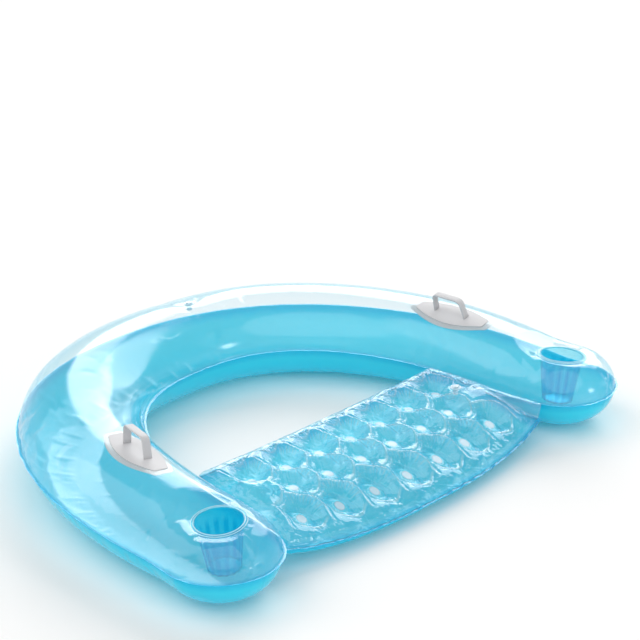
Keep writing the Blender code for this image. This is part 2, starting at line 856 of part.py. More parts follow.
def rounded_corner(corner, before, after, radius, steps=4):
    """Points of an arc that rounds one corner of a polyline."""
    corner, before, after = Vector(corner), Vector(before), Vector(after)
    start = corner + (before - corner).normalized() * radius
    end = corner + (after - corner).normalized() * radius
    found = []
    for number in range(steps + 1):
        share = number / steps
        one = start.lerp(corner, share)
        two = corner.lerp(end, share)
        found.append(one.lerp(two, share))
    return found


def strap_line(inset):
    """Side view of the strap loop, as an open line from its back foot to its front foot."""
    feet = STRAP_FOOT_SPAN / 2 - inset
    top = STRAP_TOP_SPAN / 2 - inset
    height = STRAP_HEIGHT - inset
    sink = -STRAP_SINK
    back_foot = (-feet, sink)
    back_top = (-top - STRAP_LEAN, height)
    front_top = (top - STRAP_LEAN, height)
    front_foot = (feet, sink)
    bend = STRAP_BEND - inset
    line = [Vector(back_foot)]
    line += rounded_corner(back_top, back_foot, front_top, bend)
    line += rounded_corner(front_top, back_top, front_foot, bend)
    line.append(Vector(front_foot))
    return line


def strap_loop():
    """The finger strap: its side view as a flat 2D curve, drawn out to the strap's width."""
    outline = strap_line(0.0) + strap_line(STRAP_THICKNESS)[::-1]
    curve = bpy.data.curves.new("strap", "CURVE")
    curve.dimensions = "2D"
    curve.fill_mode = "BOTH"
    curve.extrude = STRAP_WIDTH / 2
    spline = curve.splines.new("POLY")
    spline.points.add(len(outline) - 1)
    for point, place in zip(spline.points, outline):
        point.co = (place.x, place.y, 0.0, 1.0)
    spline.use_cyclic_u = True
    made = bpy.data.objects.new("strap", curve)
    CHAIR.objects.link(made)
    made.matrix_world = handle_frame() @ Matrix.Rotation(math.pi / 2, 4, "X")
    solid = as_mesh(made)
    body = bmesh.new()
    body.from_mesh(solid.data)
    rims = [edge for edge in body.edges if edge.calc_face_angle(0.0) > math.radians(60)]
    long_rims = [edge for edge in rims if abs(edge.verts[0].co.z - edge.verts[1].co.z) < MERGE]
    bmesh.ops.bevel(
        body,
        geom=long_rims,
        offset=STRAP_EDGE_ROUND,
        offset_type="OFFSET",
        segments=1,
        profile=0.5,
        affect="EDGES",
        material=-1,
    )
    body.to_mesh(solid.data)
    body.free()
    return solid


def build_handles():
    lift = CLEARANCE + PATCH_THICKNESS
    patch = skin_layer("handle_patch_right", lift, PATCH_THICKNESS)
    cut(patch, barrel_prism("patch_outline", PATCH_LENGTH, PATCH_WIDTH), "INTERSECT")
    lift += CLEARANCE
    under = skin_layer("below_plate", lift + PLATE_THICKNESS / 2, STRAP_SINK * 2.0, cutter=True)
    strap = strap_loop()
    cut(strap, under)
    strap = as_mesh(strap)
    lift += PLATE_THICKNESS
    grip = skin_layer("handle_grip_right", lift, PLATE_THICKNESS)
    cut(grip, barrel_prism("plate_outline", PLATE_LENGTH, PLATE_WIDTH), "INTERSECT")
    joined(grip, strap)
    other_side(patch, "handle_patch_left")
    other_side(grip, "handle_grip_left")


# Air valves


def empty_at(name, place, parent=None):
    made = bpy.data.objects.new(name, None)
    CHAIR.objects.link(made)
    made.empty_display_size = VALVE_COLLAR_RADIUS
    made.matrix_world = place
    if parent:
        made.parent = parent
        made.matrix_parent_inverse = parent.matrix_world.inverted()
    return made


def hang_on(made, parent, place):
    """Put a piece in its parent's frame, at a place given in that frame."""
    made.parent = parent
    made.matrix_parent_inverse = Matrix.Identity(4)
    made.matrix_basis = place


def valve_collar(prefix, parent):
    """The collar welded to the sheet, with the short neck that guides the stem."""
    bore = STEM_RADIUS + CLEARANCE
    neck = bore + VALVE_NECK_WALL
    top = CLEARANCE + VALVE_COLLAR_THICKNESS
    made = turned(
        prefix + "_collar",
        (
            (bore, top),
            (VALVE_COLLAR_RADIUS - VALVE_COLLAR_THICKNESS, top),
            (VALVE_COLLAR_RADIUS, CLEARANCE + VALVE_COLLAR_THICKNESS / 2),
            (VALVE_COLLAR_RADIUS, CLEARANCE),
            (neck, CLEARANCE),
            (neck, -VALVE_NECK_DEPTH),
            (bore, -VALVE_NECK_DEPTH),
        ),
        VALVE,
        VALVE_SEGMENTS,
    )
    hang_on(made, parent, Matrix.Identity(4))


def lip_level():
    return CLEARANCE + VALVE_COLLAR_THICKNESS + CLEARANCE


def valve_stem(prefix, parent):
    """The sliding stem: a lip on the collar, a bored tube and a bead that stops its travel."""
    low = lip_level()
    foot = low - STEM_LENGTH
    stem = turned(
        prefix + "_stem",
        (
            (STEM_BORE, low + STEM_LIP),
            (STEM_LIP_RADIUS, low + STEM_LIP),
            (STEM_LIP_RADIUS, low),
            (STEM_RADIUS, low),
            (STEM_RADIUS, foot + STEM_BEAD * 1.6),
            (STEM_BEAD_RADIUS, foot + STEM_BEAD),
            (STEM_BEAD_RADIUS, foot),
            (STEM_BORE, foot),
        ),
        VALVE,
        VALVE_SEGMENTS,
    )
    ear = box(
        prefix + "_ear",
        (-PLUG_PIVOT - PLUG_CAP / 2, -PLUG_STRAP / 2, low),
        ((-STEM_RADIUS - STEM_LIP_RADIUS) / 2, PLUG_STRAP / 2, low + STEM_LIP),
        VALVE,
    )
    joined(stem, ear)
    hang_on(stem, parent, Matrix.Identity(4))


def valve_plug(prefix, parent):
    """The tethered plug: a cap, a tapered plug, a pull tab and the strap to its hinge."""
    base = -PLUG_CAP / 2
    plug = turned(
        prefix + "_plug",
        (
            (0.0, base + PLUG_CAP),
            (PLUG_CAP_RADIUS - PLUG_CAP / 2, base + PLUG_CAP),
            (PLUG_CAP_RADIUS, base + PLUG_CAP / 2),
            (PLUG_CAP_RADIUS, base),
            (PLUG_TOP_RADIUS, base),
            (PLUG_END_RADIUS, base - PLUG_DEPTH),
            (0.0, base - PLUG_DEPTH),
        ),
        VALVE,
        VALVE_SEGMENTS,
    )
    thin = PLUG_CAP * 0.35
    strap = box(
        prefix + "_strap",
        (-PLUG_PIVOT, -PLUG_STRAP / 2, -thin),
        (-PLUG_CAP_RADIUS + PLUG_CAP, PLUG_STRAP / 2, thin),
        VALVE,
    )
    joined(plug, strap)
    tab = box(
        prefix + "_tab",
        (PLUG_CAP_RADIUS - PLUG_CAP, -PLUG_STRAP / 2, -thin),
        (PLUG_CAP_RADIUS + PLUG_TAB / 2, PLUG_STRAP / 2, thin),
        VALVE,
    )
    joined(plug, tab)
    hang_on(plug, parent, Matrix.Translation((PLUG_PIVOT, 0.0, 0.0)))


def valve_flap(prefix, parent):
    """The check flap that closes the stem's foot from below."""
    flap = turned(
        prefix + "_flap",
        (
            (0.0, 0.0),
            (FLAP_RADIUS, 0.0),
            (FLAP_RADIUS, -FLAP_THICKNESS),
            (0.0, -FLAP_THICKNESS),
        ),
        VALVE,
        VALVE_SEGMENTS,
    )
    hang_on(flap, parent, Matrix.Translation((FLAP_RADIUS, 0.0, 0.0)))


def build_valve(prefix, place):
    seat = empty_at(prefix + "_seat_point", place)
    valve_collar(prefix, seat)
    valve_stem(prefix, seat)
    plug_height = lip_level() + STEM_LIP + CLEARANCE + PLUG_CAP / 2
    hinge = place @ Matrix.Translation((-PLUG_PIVOT, 0.0, plug_height))
    valve_plug(prefix, empty_at(prefix + "_plug_hinge", hinge, seat))
    flap_height = lip_level() - STEM_LENGTH - CLEARANCE
    hinge = place @ Matrix.Translation((-FLAP_RADIUS, 0.0, flap_height))
    valve_flap(prefix, empty_at(prefix + "_flap_hinge", hinge, seat))


def report_hinges():
    """Print the joint places, which the part's record repeats."""
    for made in CHAIR.objects:
        if made.type == "EMPTY":
            matrix = made.matrix_world
            place = [round(value, 5) for value in matrix.translation]
            axes = [[round(value, 5) for value in matrix.col[axis][:3]] for axis in range(3)]
            print("joint place", made.name, place, axes)


build_ring()
build_seat()
build_cups()
build_handles()
build_valve("ring_valve", ring_valve_frame())
build_valve("seat_valve", seat_valve_frame())
bpy.context.view_layer.update()
report_hinges()
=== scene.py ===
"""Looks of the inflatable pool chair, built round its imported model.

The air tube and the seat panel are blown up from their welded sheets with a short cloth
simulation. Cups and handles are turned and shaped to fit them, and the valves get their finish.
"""
import json
import math

import bmesh
import bpy
import numpy as np
from mathutils import Matrix, Vector, kdtree, noise


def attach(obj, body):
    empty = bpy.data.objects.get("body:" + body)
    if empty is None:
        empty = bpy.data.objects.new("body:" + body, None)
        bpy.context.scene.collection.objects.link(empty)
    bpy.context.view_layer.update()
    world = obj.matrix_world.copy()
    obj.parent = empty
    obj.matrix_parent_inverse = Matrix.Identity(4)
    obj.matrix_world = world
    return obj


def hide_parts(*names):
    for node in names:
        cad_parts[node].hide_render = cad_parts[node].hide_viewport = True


bl_info = {
    "name": "Inflatable pool chair",
    "version": (1, 0, 0),
    "blender": (4, 5, 0),
    "location": "View3D > Sidebar > Pool chair",
    "description": "Builds the chair's welded vinyl pieces, their finishes and the studio",
    "category": "Object",
}

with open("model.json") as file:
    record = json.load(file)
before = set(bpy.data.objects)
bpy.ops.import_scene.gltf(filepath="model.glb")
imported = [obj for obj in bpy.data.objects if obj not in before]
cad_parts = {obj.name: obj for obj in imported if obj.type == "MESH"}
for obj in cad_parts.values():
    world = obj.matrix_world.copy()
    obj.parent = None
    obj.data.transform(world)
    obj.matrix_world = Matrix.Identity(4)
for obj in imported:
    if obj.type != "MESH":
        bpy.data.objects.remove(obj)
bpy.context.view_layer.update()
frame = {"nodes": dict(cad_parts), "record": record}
BODY = "chair"
MERGE = 0.00001


# Settings a user would change


def length(name, description, default):
    return bpy.props.FloatProperty(
        name=name, description=description, default=default, unit="LENGTH")


def colour(name, description, default):
    return bpy.props.FloatVectorProperty(
        name=name, description=description, default=default, size=3, subtype="COLOR",
        min=0.0, max=1.0)


class TubeSettings(bpy.types.PropertyGroup):
    """Plan and sections of the air tube."""

    half_span: length("Half span", "From the middle plane to an arm's centre line", 0.520)
    back_reach: length("Back reach", "From the shoulders to the back's centre line", 0.680)
    arm_reach: length("Arm reach", "From the shoulders to the centre of a round tip", 0.085)
    arm_splay: length("Arm splay", "How far a tip lies outside its shoulder", 0.010)
    plan_power: bpy.props.FloatProperty(
        name="Plan power", description="Squareness of the back's curve, 2 for an ellipse",
        default=2.28, min=1.5, max=4.0)
    back_width: length("Back width", "Width of the tube at the back", 0.274)
    back_height: length("Back height", "Height of the tube at the back", 0.200)
    side_width: length("Side width", "Width of the tube along an arm", 0.264)
    side_height: length("Side height", "Height of the tube along an arm", 0.190)
    tip_width: length("Tip width", "Width of the tube at an arm's tip", 0.244)
    tip_height: length("Tip height", "Height of the tube at an arm's tip", 0.172)
    weld_width: length("Weld width", "Width of the flat weld round the sheets", 0.0060)


class SeatSettings(bpy.types.PropertyGroup):
    """Plan and weld dots of the seat panel."""

    depth: length("Depth", "From the front corners to the back edge", 0.300)
    front_bulge: length("Front bulge", "How far the front edge bows out in the middle", 0.050)
    swell: length("Swell", "Half the panel's thickness between its welds", 0.026)
    dot_margin: length("Dot margin", "From the panel's side edge to its outer weld dots", 0.0903)
    dot_radius: length("Dot radius", "Radius of a round weld dot", 0.011)


class CupSettings(bpy.types.PropertyGroup):
    """Cup holders."""

    mouth_radius: length("Mouth radius", "Inner radius at the mouth", 0.0475)
    floor_radius: length("Floor radius", "Inner radius at the floor", 0.0335)
    wall: length("Wall", "Thickness of the wall", 0.0012)
    depth: length("Depth", "From the mouth to the underside of the floor", 0.104)
    flutes: bpy.props.IntProperty(
        name="Flutes", description="Vertical flutes round the wall", default=14, min=6)
    mouth_level: length("Mouth level", "Height of the mouth's centre", 0.153)
    tilt: bpy.props.FloatProperty(
        name="Tilt", description="How far the cup leans outwards",
        default=math.radians(6), subtype="ANGLE")


class HandleSettings(bpy.types.PropertyGroup):
    """Grab handles."""

    from_tip: length("From tip", "From the tip's centre back to the handle's centre", 0.290)
    inward: length("Inward", "From the tube's crest in to the handle's centre", 0.022)
    patch_length: length("Patch length", "Length of the welded patch", 0.205)
    patch_width: length("Patch width", "Width of the welded patch", 0.102)
    plate_length: length("Plate length", "Length of the raised plate on the patch", 0.178)
    plate_width: length("Plate width", "Width of the raised plate on the patch", 0.079)
    strap_height: length("Strap height", "From the skin to the strap's top", 0.044)
    strap_width: length("Strap width", "Width of the finger strap", 0.019)


class FinishSettings(bpy.types.PropertyGroup):
    """Colours of the vinyl."""

    blue: colour("Blue vinyl", "Body colour of the tinted sheets", (0.050, 0.76, 0.93))
    # The deep blue also serves as painted shade: beside the tube's and the seat's welds, and on
    # every second side of the cups' flutes
    deep: colour(
        "Deep blue", "Colour where the tinted sheet is welded or seen edge on", (0.014, 0.60, 0.85))
    tint: colour("Blue tint", "Colour that light takes through a tinted sheet", (0.30, 0.88, 0.96))
    white: colour("White vinyl", "Colour of the moulded handles", (0.62, 0.62, 0.635))
    floor: colour("Floor", "Colour of the studio's floor", (0.98, 0.972, 0.965))


class StudioSettings(bpy.types.PropertyGroup):
    """Camera of the photo's view."""

    lens: bpy.props.FloatProperty(
        name="Lens", description="Focal length on a 36 mm sensor", default=116.3, unit="CAMERA")
    eye: bpy.props.FloatVectorProperty(
        name="Eye", description="Place of the camera", default=(-2.889, -2.961, 2.053),
        size=3, subtype="TRANSLATION")
    aim: bpy.props.FloatVectorProperty(
        name="Aim", description="Point at the centre of the picture",
        default=(0.384, 0.225, 0.108), size=3, subtype="TRANSLATION")
    roll: bpy.props.FloatProperty(
        name="Roll", description="Turn of the camera about its sight line",
        default=math.radians(-0.6), subtype="ANGLE")


# Forms shared by the pieces


def ease(value):
    held = min(max(value, 0.0), 1.0)
    return held * held * (3.0 - 2.0 * held)


def bell(value, width):
    return math.exp(-(value / width) ** 2)


def uneven(depth, *place):
    """A smooth, irregular height at a place."""
    return depth * noise.noise(Vector(place))


def folds(waves, run, side):
    """Irregular folds along a run: each wave's strength, rate, side step and layer."""
    return sum(uneven(strength, run * rate, side * step, layer)
               for strength, rate, step, layer in waves)


class Tube:
    """The air tube's centre line, sections and outer surface."""

    SAMPLES = 600
    ARM_SAMPLES = 100
    SPLAY_POWER = 1.5
    STRAIGHT_FROM = 0.94
    TIP_BLEND = 0.35
    BACK_BLEND = 0.75
    FLAT_ANGLE = math.radians(83)
    PAD_REACH = 0.060
    PULL_REACH = 0.120
    EYE_WIDTH = 1.25
    EYE_LENGTH = 0.86
    DIP_POWER = 1.35

    def __init__(self, sizes, cups):
        self.sizes = sizes
        self.cups = cups
        front = sizes.arm_reach + sizes.tip_width / 2
        back = sizes.back_reach + sizes.back_width / 2
        shoulder = (front - back) / 2
        turn = np.linspace(math.pi / 2, 0.0, self.SAMPLES)
        power = 2.0 / sizes.plan_power
        bow_x = sizes.half_span * np.abs(np.cos(turn)) ** power
        bow_y = shoulder + sizes.back_reach * np.abs(np.sin(turn)) ** power
        bow_x[0] = 0.0
        along = np.linspace(0.0, 1.0, self.ARM_SAMPLES)[1:]
        splay = sizes.arm_splay * along ** self.SPLAY_POWER
        self.xs = np.append(bow_x, sizes.half_span + splay)
        self.ys = np.append(bow_y, shoulder - sizes.arm_reach * along)
        steps = np.hypot(np.diff(self.xs), np.diff(self.ys))
        self.lengths = np.append(0.0, np.cumsum(steps))
        self.total = float(self.lengths[-1])
        self.tip = self.centre(1.0)

    def centre(self, share):
        run = share * self.total
        x, y = (float(np.interp(run, self.lengths, line)) for line in (self.xs, self.ys))
        return Vector((x, y, 0.0))

    def outward(self, share):
        step = 2.0 / self.SAMPLES
        if share < step:
            heading = Vector((1.0, 0.0, 0.0))
        else:
            later = min(share + step, 1.0)
            heading = (self.centre(later) - self.centre(later - 2.0 * step)).normalized()
            straight = (share - self.STRAIGHT_FROM) / (1.0 - self.STRAIGHT_FROM)
            heading = heading.lerp(Vector((0.0, -1.0, 0.0)), ease(straight))
        return Vector((-heading.y, heading.x, 0.0)).normalized()

    def blended(self, share, back, side, tip):
        from_tip = 1.0 - share
        size = tip + (side - tip) * ease(from_tip / self.TIP_BLEND)
        start = 1.0 - self.BACK_BLEND
        return size + (back - side) * ease((from_tip - start) / self.BACK_BLEND)

    def half_width(self, share):
        sizes = self.sizes
        return self.blended(share, sizes.back_width, sizes.side_width, sizes.tip_width) / 2

    def height(self, share):
        sizes = self.sizes
        return self.blended(share, sizes.back_height, sizes.side_height, sizes.tip_height)

    def cup_plane(self, x):
        return self.cups.mouth_level - math.tan(self.cups.tilt) * (abs(x) - self.tip.x)

    def dipped(self, point):
        """The top sheet sinks to the cup's mouth, in an eye whose point runs back."""
        excess = point.z - self.cup_plane(point.x)
        if excess <= 0.0:
            return point
        side = abs(abs(point.x) - self.tip.x)
        back = point.y - self.tip.y
        reach = math.hypot(side, back)
        if back > 0.0:
            reach = max(reach, math.hypot(side * self.EYE_WIDTH, back * self.EYE_LENGTH))
        share = (reach - self.PAD_REACH) / (self.PULL_REACH - self.PAD_REACH)
        keep = min(max(share, 0.0), 1.0)
        kept = keep ** self.DIP_POWER * (2.0 - keep)
        return Vector((point.x, point.y, point.z - excess * (1.0 - kept)))

    def place(self, share, across, front_turn, side):
        """A point in plan, across from -1 at the inner seam to 1, with tips turned shut."""
        direction = self.outward(share)
        if front_turn > 0.0:
            angle = -front_turn if across > 0.0 else front_turn
            direction = Matrix.Rotation(angle, 3, "Z") @ direction
        point = self.centre(share) + direction * (self.half_width(share) * across)
        return Vector((side * point.x, point.y, 0.0))

    def skin(self, share, angle, front_turn=0.0, side=1.0, face=1):
        """A point of the outer surface, its angle counted over (or under) the tube."""
        level = self.height(share) / 2
        point = self.place(share, -math.cos(angle), front_turn, side)
        if face > 0:
            point.z = level + level * math.sin(angle)
            return self.dipped(point)
        crown = level / math.sin(self.FLAT_ANGLE)
        point.z = max(level - crown * math.sin(angle), 0.0)
        return point


def frame_at(origin, forward, normal):
    """Matrix whose X runs forward and whose Z is the normal."""
    up = normal.normalized()
    side = up.cross(forward).normalized()
    turn = Matrix((side.cross(up), side, up)).transposed().to_4x4()
    return Matrix.Translation(origin) @ turn


def grid_into(body, along, across):
    """Add a grid to the body, and give its vertices with their places from -1 to 1."""
    made = bmesh.ops.create_grid(body, x_segments=along, y_segments=across, size=1.0)
    return [(vert, vert.co.x, vert.co.y) for vert in made["verts"]]


def facing(body, face):
    """Turn a sheet's faces up (face 1) or down (face -1)."""
    bmesh.ops.recalc_face_normals(body, faces=body.faces)
    if sum(found.normal.z * found.calc_area() for found in body.faces) * face < 0.0:
        bmesh.ops.reverse_faces(body, faces=body.faces)


def finished(name, body, surface, slot, replaced=(), rides=BODY):
    """Turn a body into a shown piece that moves with a body of the chair."""
    mesh = bpy.data.meshes.new(name)
    body.to_mesh(mesh)
    body.free()
    mesh.shade_smooth()
    piece = bpy.data.objects.new(name, mesh)
    bpy.context.scene.collection.objects.link(piece)
    mesh.materials.append(surface)
    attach(piece, rides)
    if replaced:
        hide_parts(*replaced)
    return piece


def refine(piece, levels=1):
    finer = piece.modifiers.new("finer", "SUBSURF")
    finer.levels = levels
    finer.render_levels = levels


def spun(profile, place, segments, close=False, shape=None):
    """A turned body from a profile of (radius, height), set in a frame."""
    body = bmesh.new()
    line = [body.verts.new((radius, 0.0, height)) for radius, height in profile]
    pairs = list(zip(line, line[1:])) + ([(line[-1], line[0])] if close else [])
    edges = [body.edges.new(pair) for pair in pairs]
    bmesh.ops.spin(
        body, geom=line + edges, cent=(0.0, 0.0, 0.0), axis=(0.0, 0.0, 1.0),
        angle=2.0 * math.pi, steps=segments, use_merge=True)
    bmesh.ops.remove_doubles(body, verts=body.verts, dist=MERGE)
    if shape:
        for vert in body.verts:
            vert.co = shape(vert.co)
    bmesh.ops.recalc_face_normals(body, faces=body.faces)
    bmesh.ops.transform(body, matrix=place, verts=body.verts)
    return body


# Cloth


class Blown:
    """A closed pair of sheets, blown up by cloth simulation from its rest form.

    spot(x, y, face) gives a rest point for a grid place, and held(x, y, face) is 1 where
    the sheets stay put. Afterwards, move(x, y, face) tells how far a grid place moved.
    """

    FRAMES = 20
    VINYL = {
        "quality": 6, "mass": 0.3, "tension_stiffness": 40.0, "compression_stiffness": 40.0,
        "shear_stiffness": 20.0, "bending_stiffness": 0.15, "air_damping": 3.0,
        "use_pressure": True, "vertex_group_mass": "held",
    }

    def __init__(self, along, across, spot, held, pressure, growth, cap):
        self.size = (along, across)
        self.moves = {face: np.zeros((across + 1, along + 1, 3)) for face in (1, -1)}
        body = bmesh.new()
        upper = body.verts.layers.int.new("upper")
        lower = body.verts.layers.int.new("lower")
        weight = body.verts.layers.float.new("held")
        for face, layer in ((1, upper), (-1, lower)):
            for vert, x, y in grid_into(body, along, across):
                column = round((x + 1.0) / 2 * along)
                row = round((y + 1.0) / 2 * across)
                vert[layer] = row * (along + 1) + column + 1
                vert[weight] = held(x, y, face)
                vert.co = spot(x, y, face)
        bmesh.ops.remove_doubles(body, verts=body.verts, dist=MERGE)
        bmesh.ops.recalc_face_normals(body, faces=body.faces)
        numbers = [(vert[upper], vert[lower], vert[weight]) for vert in body.verts]
        rest = np.array([vert.co[:] for vert in body.verts])
        settled = self.simulate(body, numbers, pressure, growth)
        moved = settled - rest
        travel = np.linalg.norm(moved, axis=1, keepdims=True)
        moved *= np.minimum(1.0, cap / np.maximum(travel, MERGE))
        for (top, bottom, _), move in zip(numbers, moved):
            for number, face in ((top, 1), (bottom, -1)):
                if number:
                    row, column = divmod(number - 1, along + 1)
                    self.moves[face][row, column] = move

    def simulate(self, body, numbers, pressure, growth):
        mesh = bpy.data.meshes.new("blown")
        body.to_mesh(mesh)
        body.free()
        piece = bpy.data.objects.new("blown", mesh)
        bpy.context.scene.collection.objects.link(piece)
        group = piece.vertex_groups.new(name="held")
        for number, (_, _, weight) in enumerate(numbers):
            if weight > 0.0:
                group.add([number], weight, "REPLACE")
        cloth = piece.modifiers.new("vinyl", "CLOTH")
        settings = cloth.settings
        for key, value in self.VINYL.items():
            setattr(settings, key, value)
        settings.uniform_pressure_force = pressure
        settings.shrink_min = settings.shrink_max = -growth
        settings.effector_weights.gravity = 0.0
        cloth.collision_settings.use_collision = False
        cloth.point_cache.frame_end = self.FRAMES
        scene = bpy.context.scene
        for number in range(1, self.FRAMES + 1):
            scene.frame_set(number)
        graph = bpy.context.evaluated_depsgraph_get()
        result = piece.evaluated_get(graph).to_mesh()
        settled = np.zeros(len(result.vertices) * 3)
        result.vertices.foreach_get("co", settled)
        scene.frame_set(1)
        bpy.data.objects.remove(piece, do_unlink=True)
        return settled.reshape(-1, 3)

    def move(self, x, y, face):
        """Smooth reading of the movement between the grid's places."""
        along, across = self.size
        moves = self.moves[face]
        column = (x + 1.0) / 2 * along
        row = (y + 1.0) / 2 * across
        left = min(int(column), along - 1)
        low = min(int(row), across - 1)
        total = np.zeros(3)
        for row_step, row_share in enumerate(cubic_shares(row - low)):
            line = min(max(low + row_step - 1, 0), across)
            for step, share in enumerate(cubic_shares(column - left)):
                spot = min(max(left + step - 1, 0), along)
                total += moves[line, spot] * (row_share * share)
        return Vector(total)


def cubic_shares(value):
    """Shares of four neighbours in a smooth curve between the middle two."""
    square = value * value
    cube = square * value
    return (
        (-cube + 2.0 * square - value) / 2,
        (3.0 * cube - 5.0 * square + 2.0) / 2,
        (-3.0 * cube + 4.0 * square + value) / 2,
        (cube - square) / 2,
    )


# Air tube


class RingBuild:
    """The two sheets of the air tube, as grids bent round its centre line."""

    ALONG = 380
    ACROSS = 52
    CROWD = 1.4
    TIP_ARC = 0.150
    HOLD_FLAT = 0.045
    COLLAR_REACH = 0.014
    COLLAR_HOLD = 0.016
    FLOOR_HOLD = 0.0004
    PRESSURE = 4.0
    GROWTH = 0.004
    CAP = 0.0025
    SEAM_SHADE = 0.042
    WELD_ROW = 0.75
    WELD_GAP = 0.0004
    # Waves, as folds takes them: of the weld, sideways and up, and of the pleats beside it
    WELD_SIDEWAYS = ((0.0012, 38.0, 1.0, 9.0),)
    WELD_UP = ((0.0012, 34.0, 1.0, 3.0),)
    PLEATS = ((1.0, 46.0, 4.0, 2.0), (0.7, 105.0, 7.0, 5.0))
    PLEAT_DEPTH = 0.0020
    PLEAT_REACH = 0.016
    PLEAT_START = 0.004
    PLEATS_ABOVE = 0.004
    # The star in front of a cup: outwards and ahead of the cup's axis, and its level
    PINCH = (0.025, 0.115, 0.110)
    PINCH_REACH = 0.080
    PINCH_RAYS = 5.0
    PINCH_TURN = 0.6
    PINCH_HEART = 0.012
    PINCH_FADE = 0.022
    PINCH_DEPTH = 0.0035
    PINCH_FOLD = 0.0100
    PINCH_LEVEL = 0.4

    def __init__(self, tube, valve_place):
        self.tube = tube
        self.valve = valve_place
        self.valve_back = valve_place.inverted()
        self.turn_from = tube.total / (tube.total + self.TIP_ARC)
        self.row = 2.0 / self.ACROSS
        self.blown = Blown(
            self.ALONG, self.ACROSS, lambda x, y, face: self.spot(x, y, face)[0],
            self.held, self.PRESSURE, self.GROWTH, self.CAP)

    def angle(self, y):
        inside = 1.0 - self.row
        return (min(max(y, -inside), inside) / inside + 1.0) * math.pi / 2

    def shares(self, x):
        away = 1.0 - (1.0 - min(abs(x), 1.0)) ** self.CROWD
        share = min(away / self.turn_from, 1.0)
        turned = max(away - self.turn_from, 0.0) / (1.0 - self.turn_from)
        return share, turned * math.pi / 2, -1.0 if x < 0.0 else 1.0

    def spot(self, x, y, face):
        """Where a grid place lies, its distance from the seam and its run along the tube."""
        tube = self.tube
        share, front_turn, side = self.shares(x)
        angle = self.angle(y)
        point = tube.skin(share, angle, front_turn, side, face)
        seam = min(angle, math.pi - angle) * tube.half_width(share)
        run = side * (share * tube.total + front_turn / (math.pi / 2) * self.TIP_ARC)
        if abs(y) > 1.0 - self.row * self.WELD_ROW:
            end = -1.0 if y < 0.0 else 1.0
            edge = tube.place(share, end, front_turn, side)
            middle = tube.centre(share)
            out = (edge - Vector((side * middle.x, middle.y, 0.0))).normalized()
            seam = -tube.sizes.weld_width
            ragged = folds(self.WELD_SIDEWAYS, run, end)
            point = point + out * (tube.sizes.weld_width + ragged)
            point.z += folds(self.WELD_UP, run, end)
        elif face > 0:
            point = self.flattened(point)
        return point, seam, run

    def flattened(self, point):
        """The skin lies flat under the valve's collar."""
        near = self.valve_back @ point
        reach = math.hypot(near.x, near.y)
        if reach > self.HOLD_FLAT:
            return point
        near.z *= ease((reach - self.COLLAR_REACH) / (self.HOLD_FLAT - self.COLLAR_REACH))
        return self.valve @ near

    def held(self, x, y, face):
        point, seam, _ = self.spot(x, y, face)
        if seam <= MERGE:
            return 1.0
        if face < 0:
            return 1.0 if point.z < self.FLOOR_HOLD else 0.0
        side = math.hypot(abs(point.x) - self.tube.tip.x, point.y - self.tube.tip.y)
        if side < self.tube.PAD_REACH:
            return 1.0
        from_valve = (point - self.valve.translation).length
        return 1.0 if from_valve < self.COLLAR_HOLD else 0.0

    def pleat(self, run, y, seam):
        """Depth of the small pleats that the weld pulls into the skin."""
        near = math.exp(-max(seam, 0.0) / self.PLEAT_REACH) * min(seam / self.PLEAT_START, 1.0)
        return self.PLEAT_DEPTH * near * folds(self.PLEATS, run, 1.0 if y > 0.0 else -1.0)

    def pinch(self, point):
        """A star of creases in front of each cup, where the tip's skin gathers."""
        outer, ahead, level = self.PINCH
        sideways = abs(point.x) - self.tube.tip.x - outer
        reach = math.hypot(point.z - level, sideways)
        if point.y > self.tube.tip.y - ahead / 2 or reach > self.PINCH_REACH:
            return 0.0
        turn = math.atan2(point.z - level, sideways)
        fold = math.acos(math.cos(self.PINCH_RAYS * turn + self.PINCH_TURN)) / math.pi
        star = min(reach / self.PINCH_HEART, 1.0) * math.exp(-reach / self.PINCH_FADE)
        heart = self.PINCH_DEPTH * bell(reach, self.PINCH_HEART)
        return heart + self.PINCH_FOLD * star * (fold - self.PINCH_LEVEL)

    def sheet(self, face):
        body = bmesh.new()
        weld = body.verts.layers.float.new("weld")
        line = body.verts.layers.float.new("edge")
        for vert, x, y in grid_into(body, self.ALONG, self.ACROSS):
            point, seam, run = self.spot(x, y, face)
            # Weld mark: the weld's own deeper blue and, over SEAM_SHADE beside it, painted shade
            # under the seam
            vert[weld] = 1.0 - ease(seam / self.SEAM_SHADE)
            # Edge mark: deeper tint of the clear film on the weld, partly painted shade under the
            # weld flange
            vert[line] = 1.0 if seam <= MERGE else 0.0
            if seam > MERGE:
                point = point + self.blown.move(x, y, face)
                share, _, side = self.shares(x)
                middle = self.tube.centre(share)
                level = self.tube.height(share) / 2
                inward = Vector((side * middle.x, middle.y, level)) - point
                depth = self.pleat(run, y, seam)
                if face > 0:
                    depth += self.pinch(point)
                if point.z > self.PLEATS_ABOVE and inward.length > MERGE:
                    point = point + inward.normalized() * depth
                point.z = max(point.z, 0.0)
            elif seam < 0.0 and face > 0:
                point.z += self.WELD_GAP
            vert.co = point
        bmesh.ops.remove_doubles(body, verts=body.verts, dist=MERGE)
        facing(body, face)
        return body


def open_cup_holes(body, tube):
    """Open the top sheet under each cup's mouth, with a round edge."""
    radius = tube.cups.mouth_radius + tube.cups.wall
    edge_within = radius * 1.5
    inside = []
    for vert in body.verts:
        side = abs(abs(vert.co.x) - tube.tip.x)
        if math.hypot(side, vert.co.y - tube.tip.y) < radius:
            inside.append(vert)
    bmesh.ops.delete(body, geom=inside, context="VERTS")
    for vert in body.verts:
        side = math.copysign(tube.tip.x, vert.co.x)
        out = Vector((vert.co.x - side, vert.co.y - tube.tip.y, 0.0))
        if vert.is_boundary and out.length < edge_within:
            edge = out.normalized() * radius
            vert.co.x, vert.co.y = side + edge.x, tube.tip.y + edge.y
            vert.co.z = tube.cup_plane(vert.co.x)


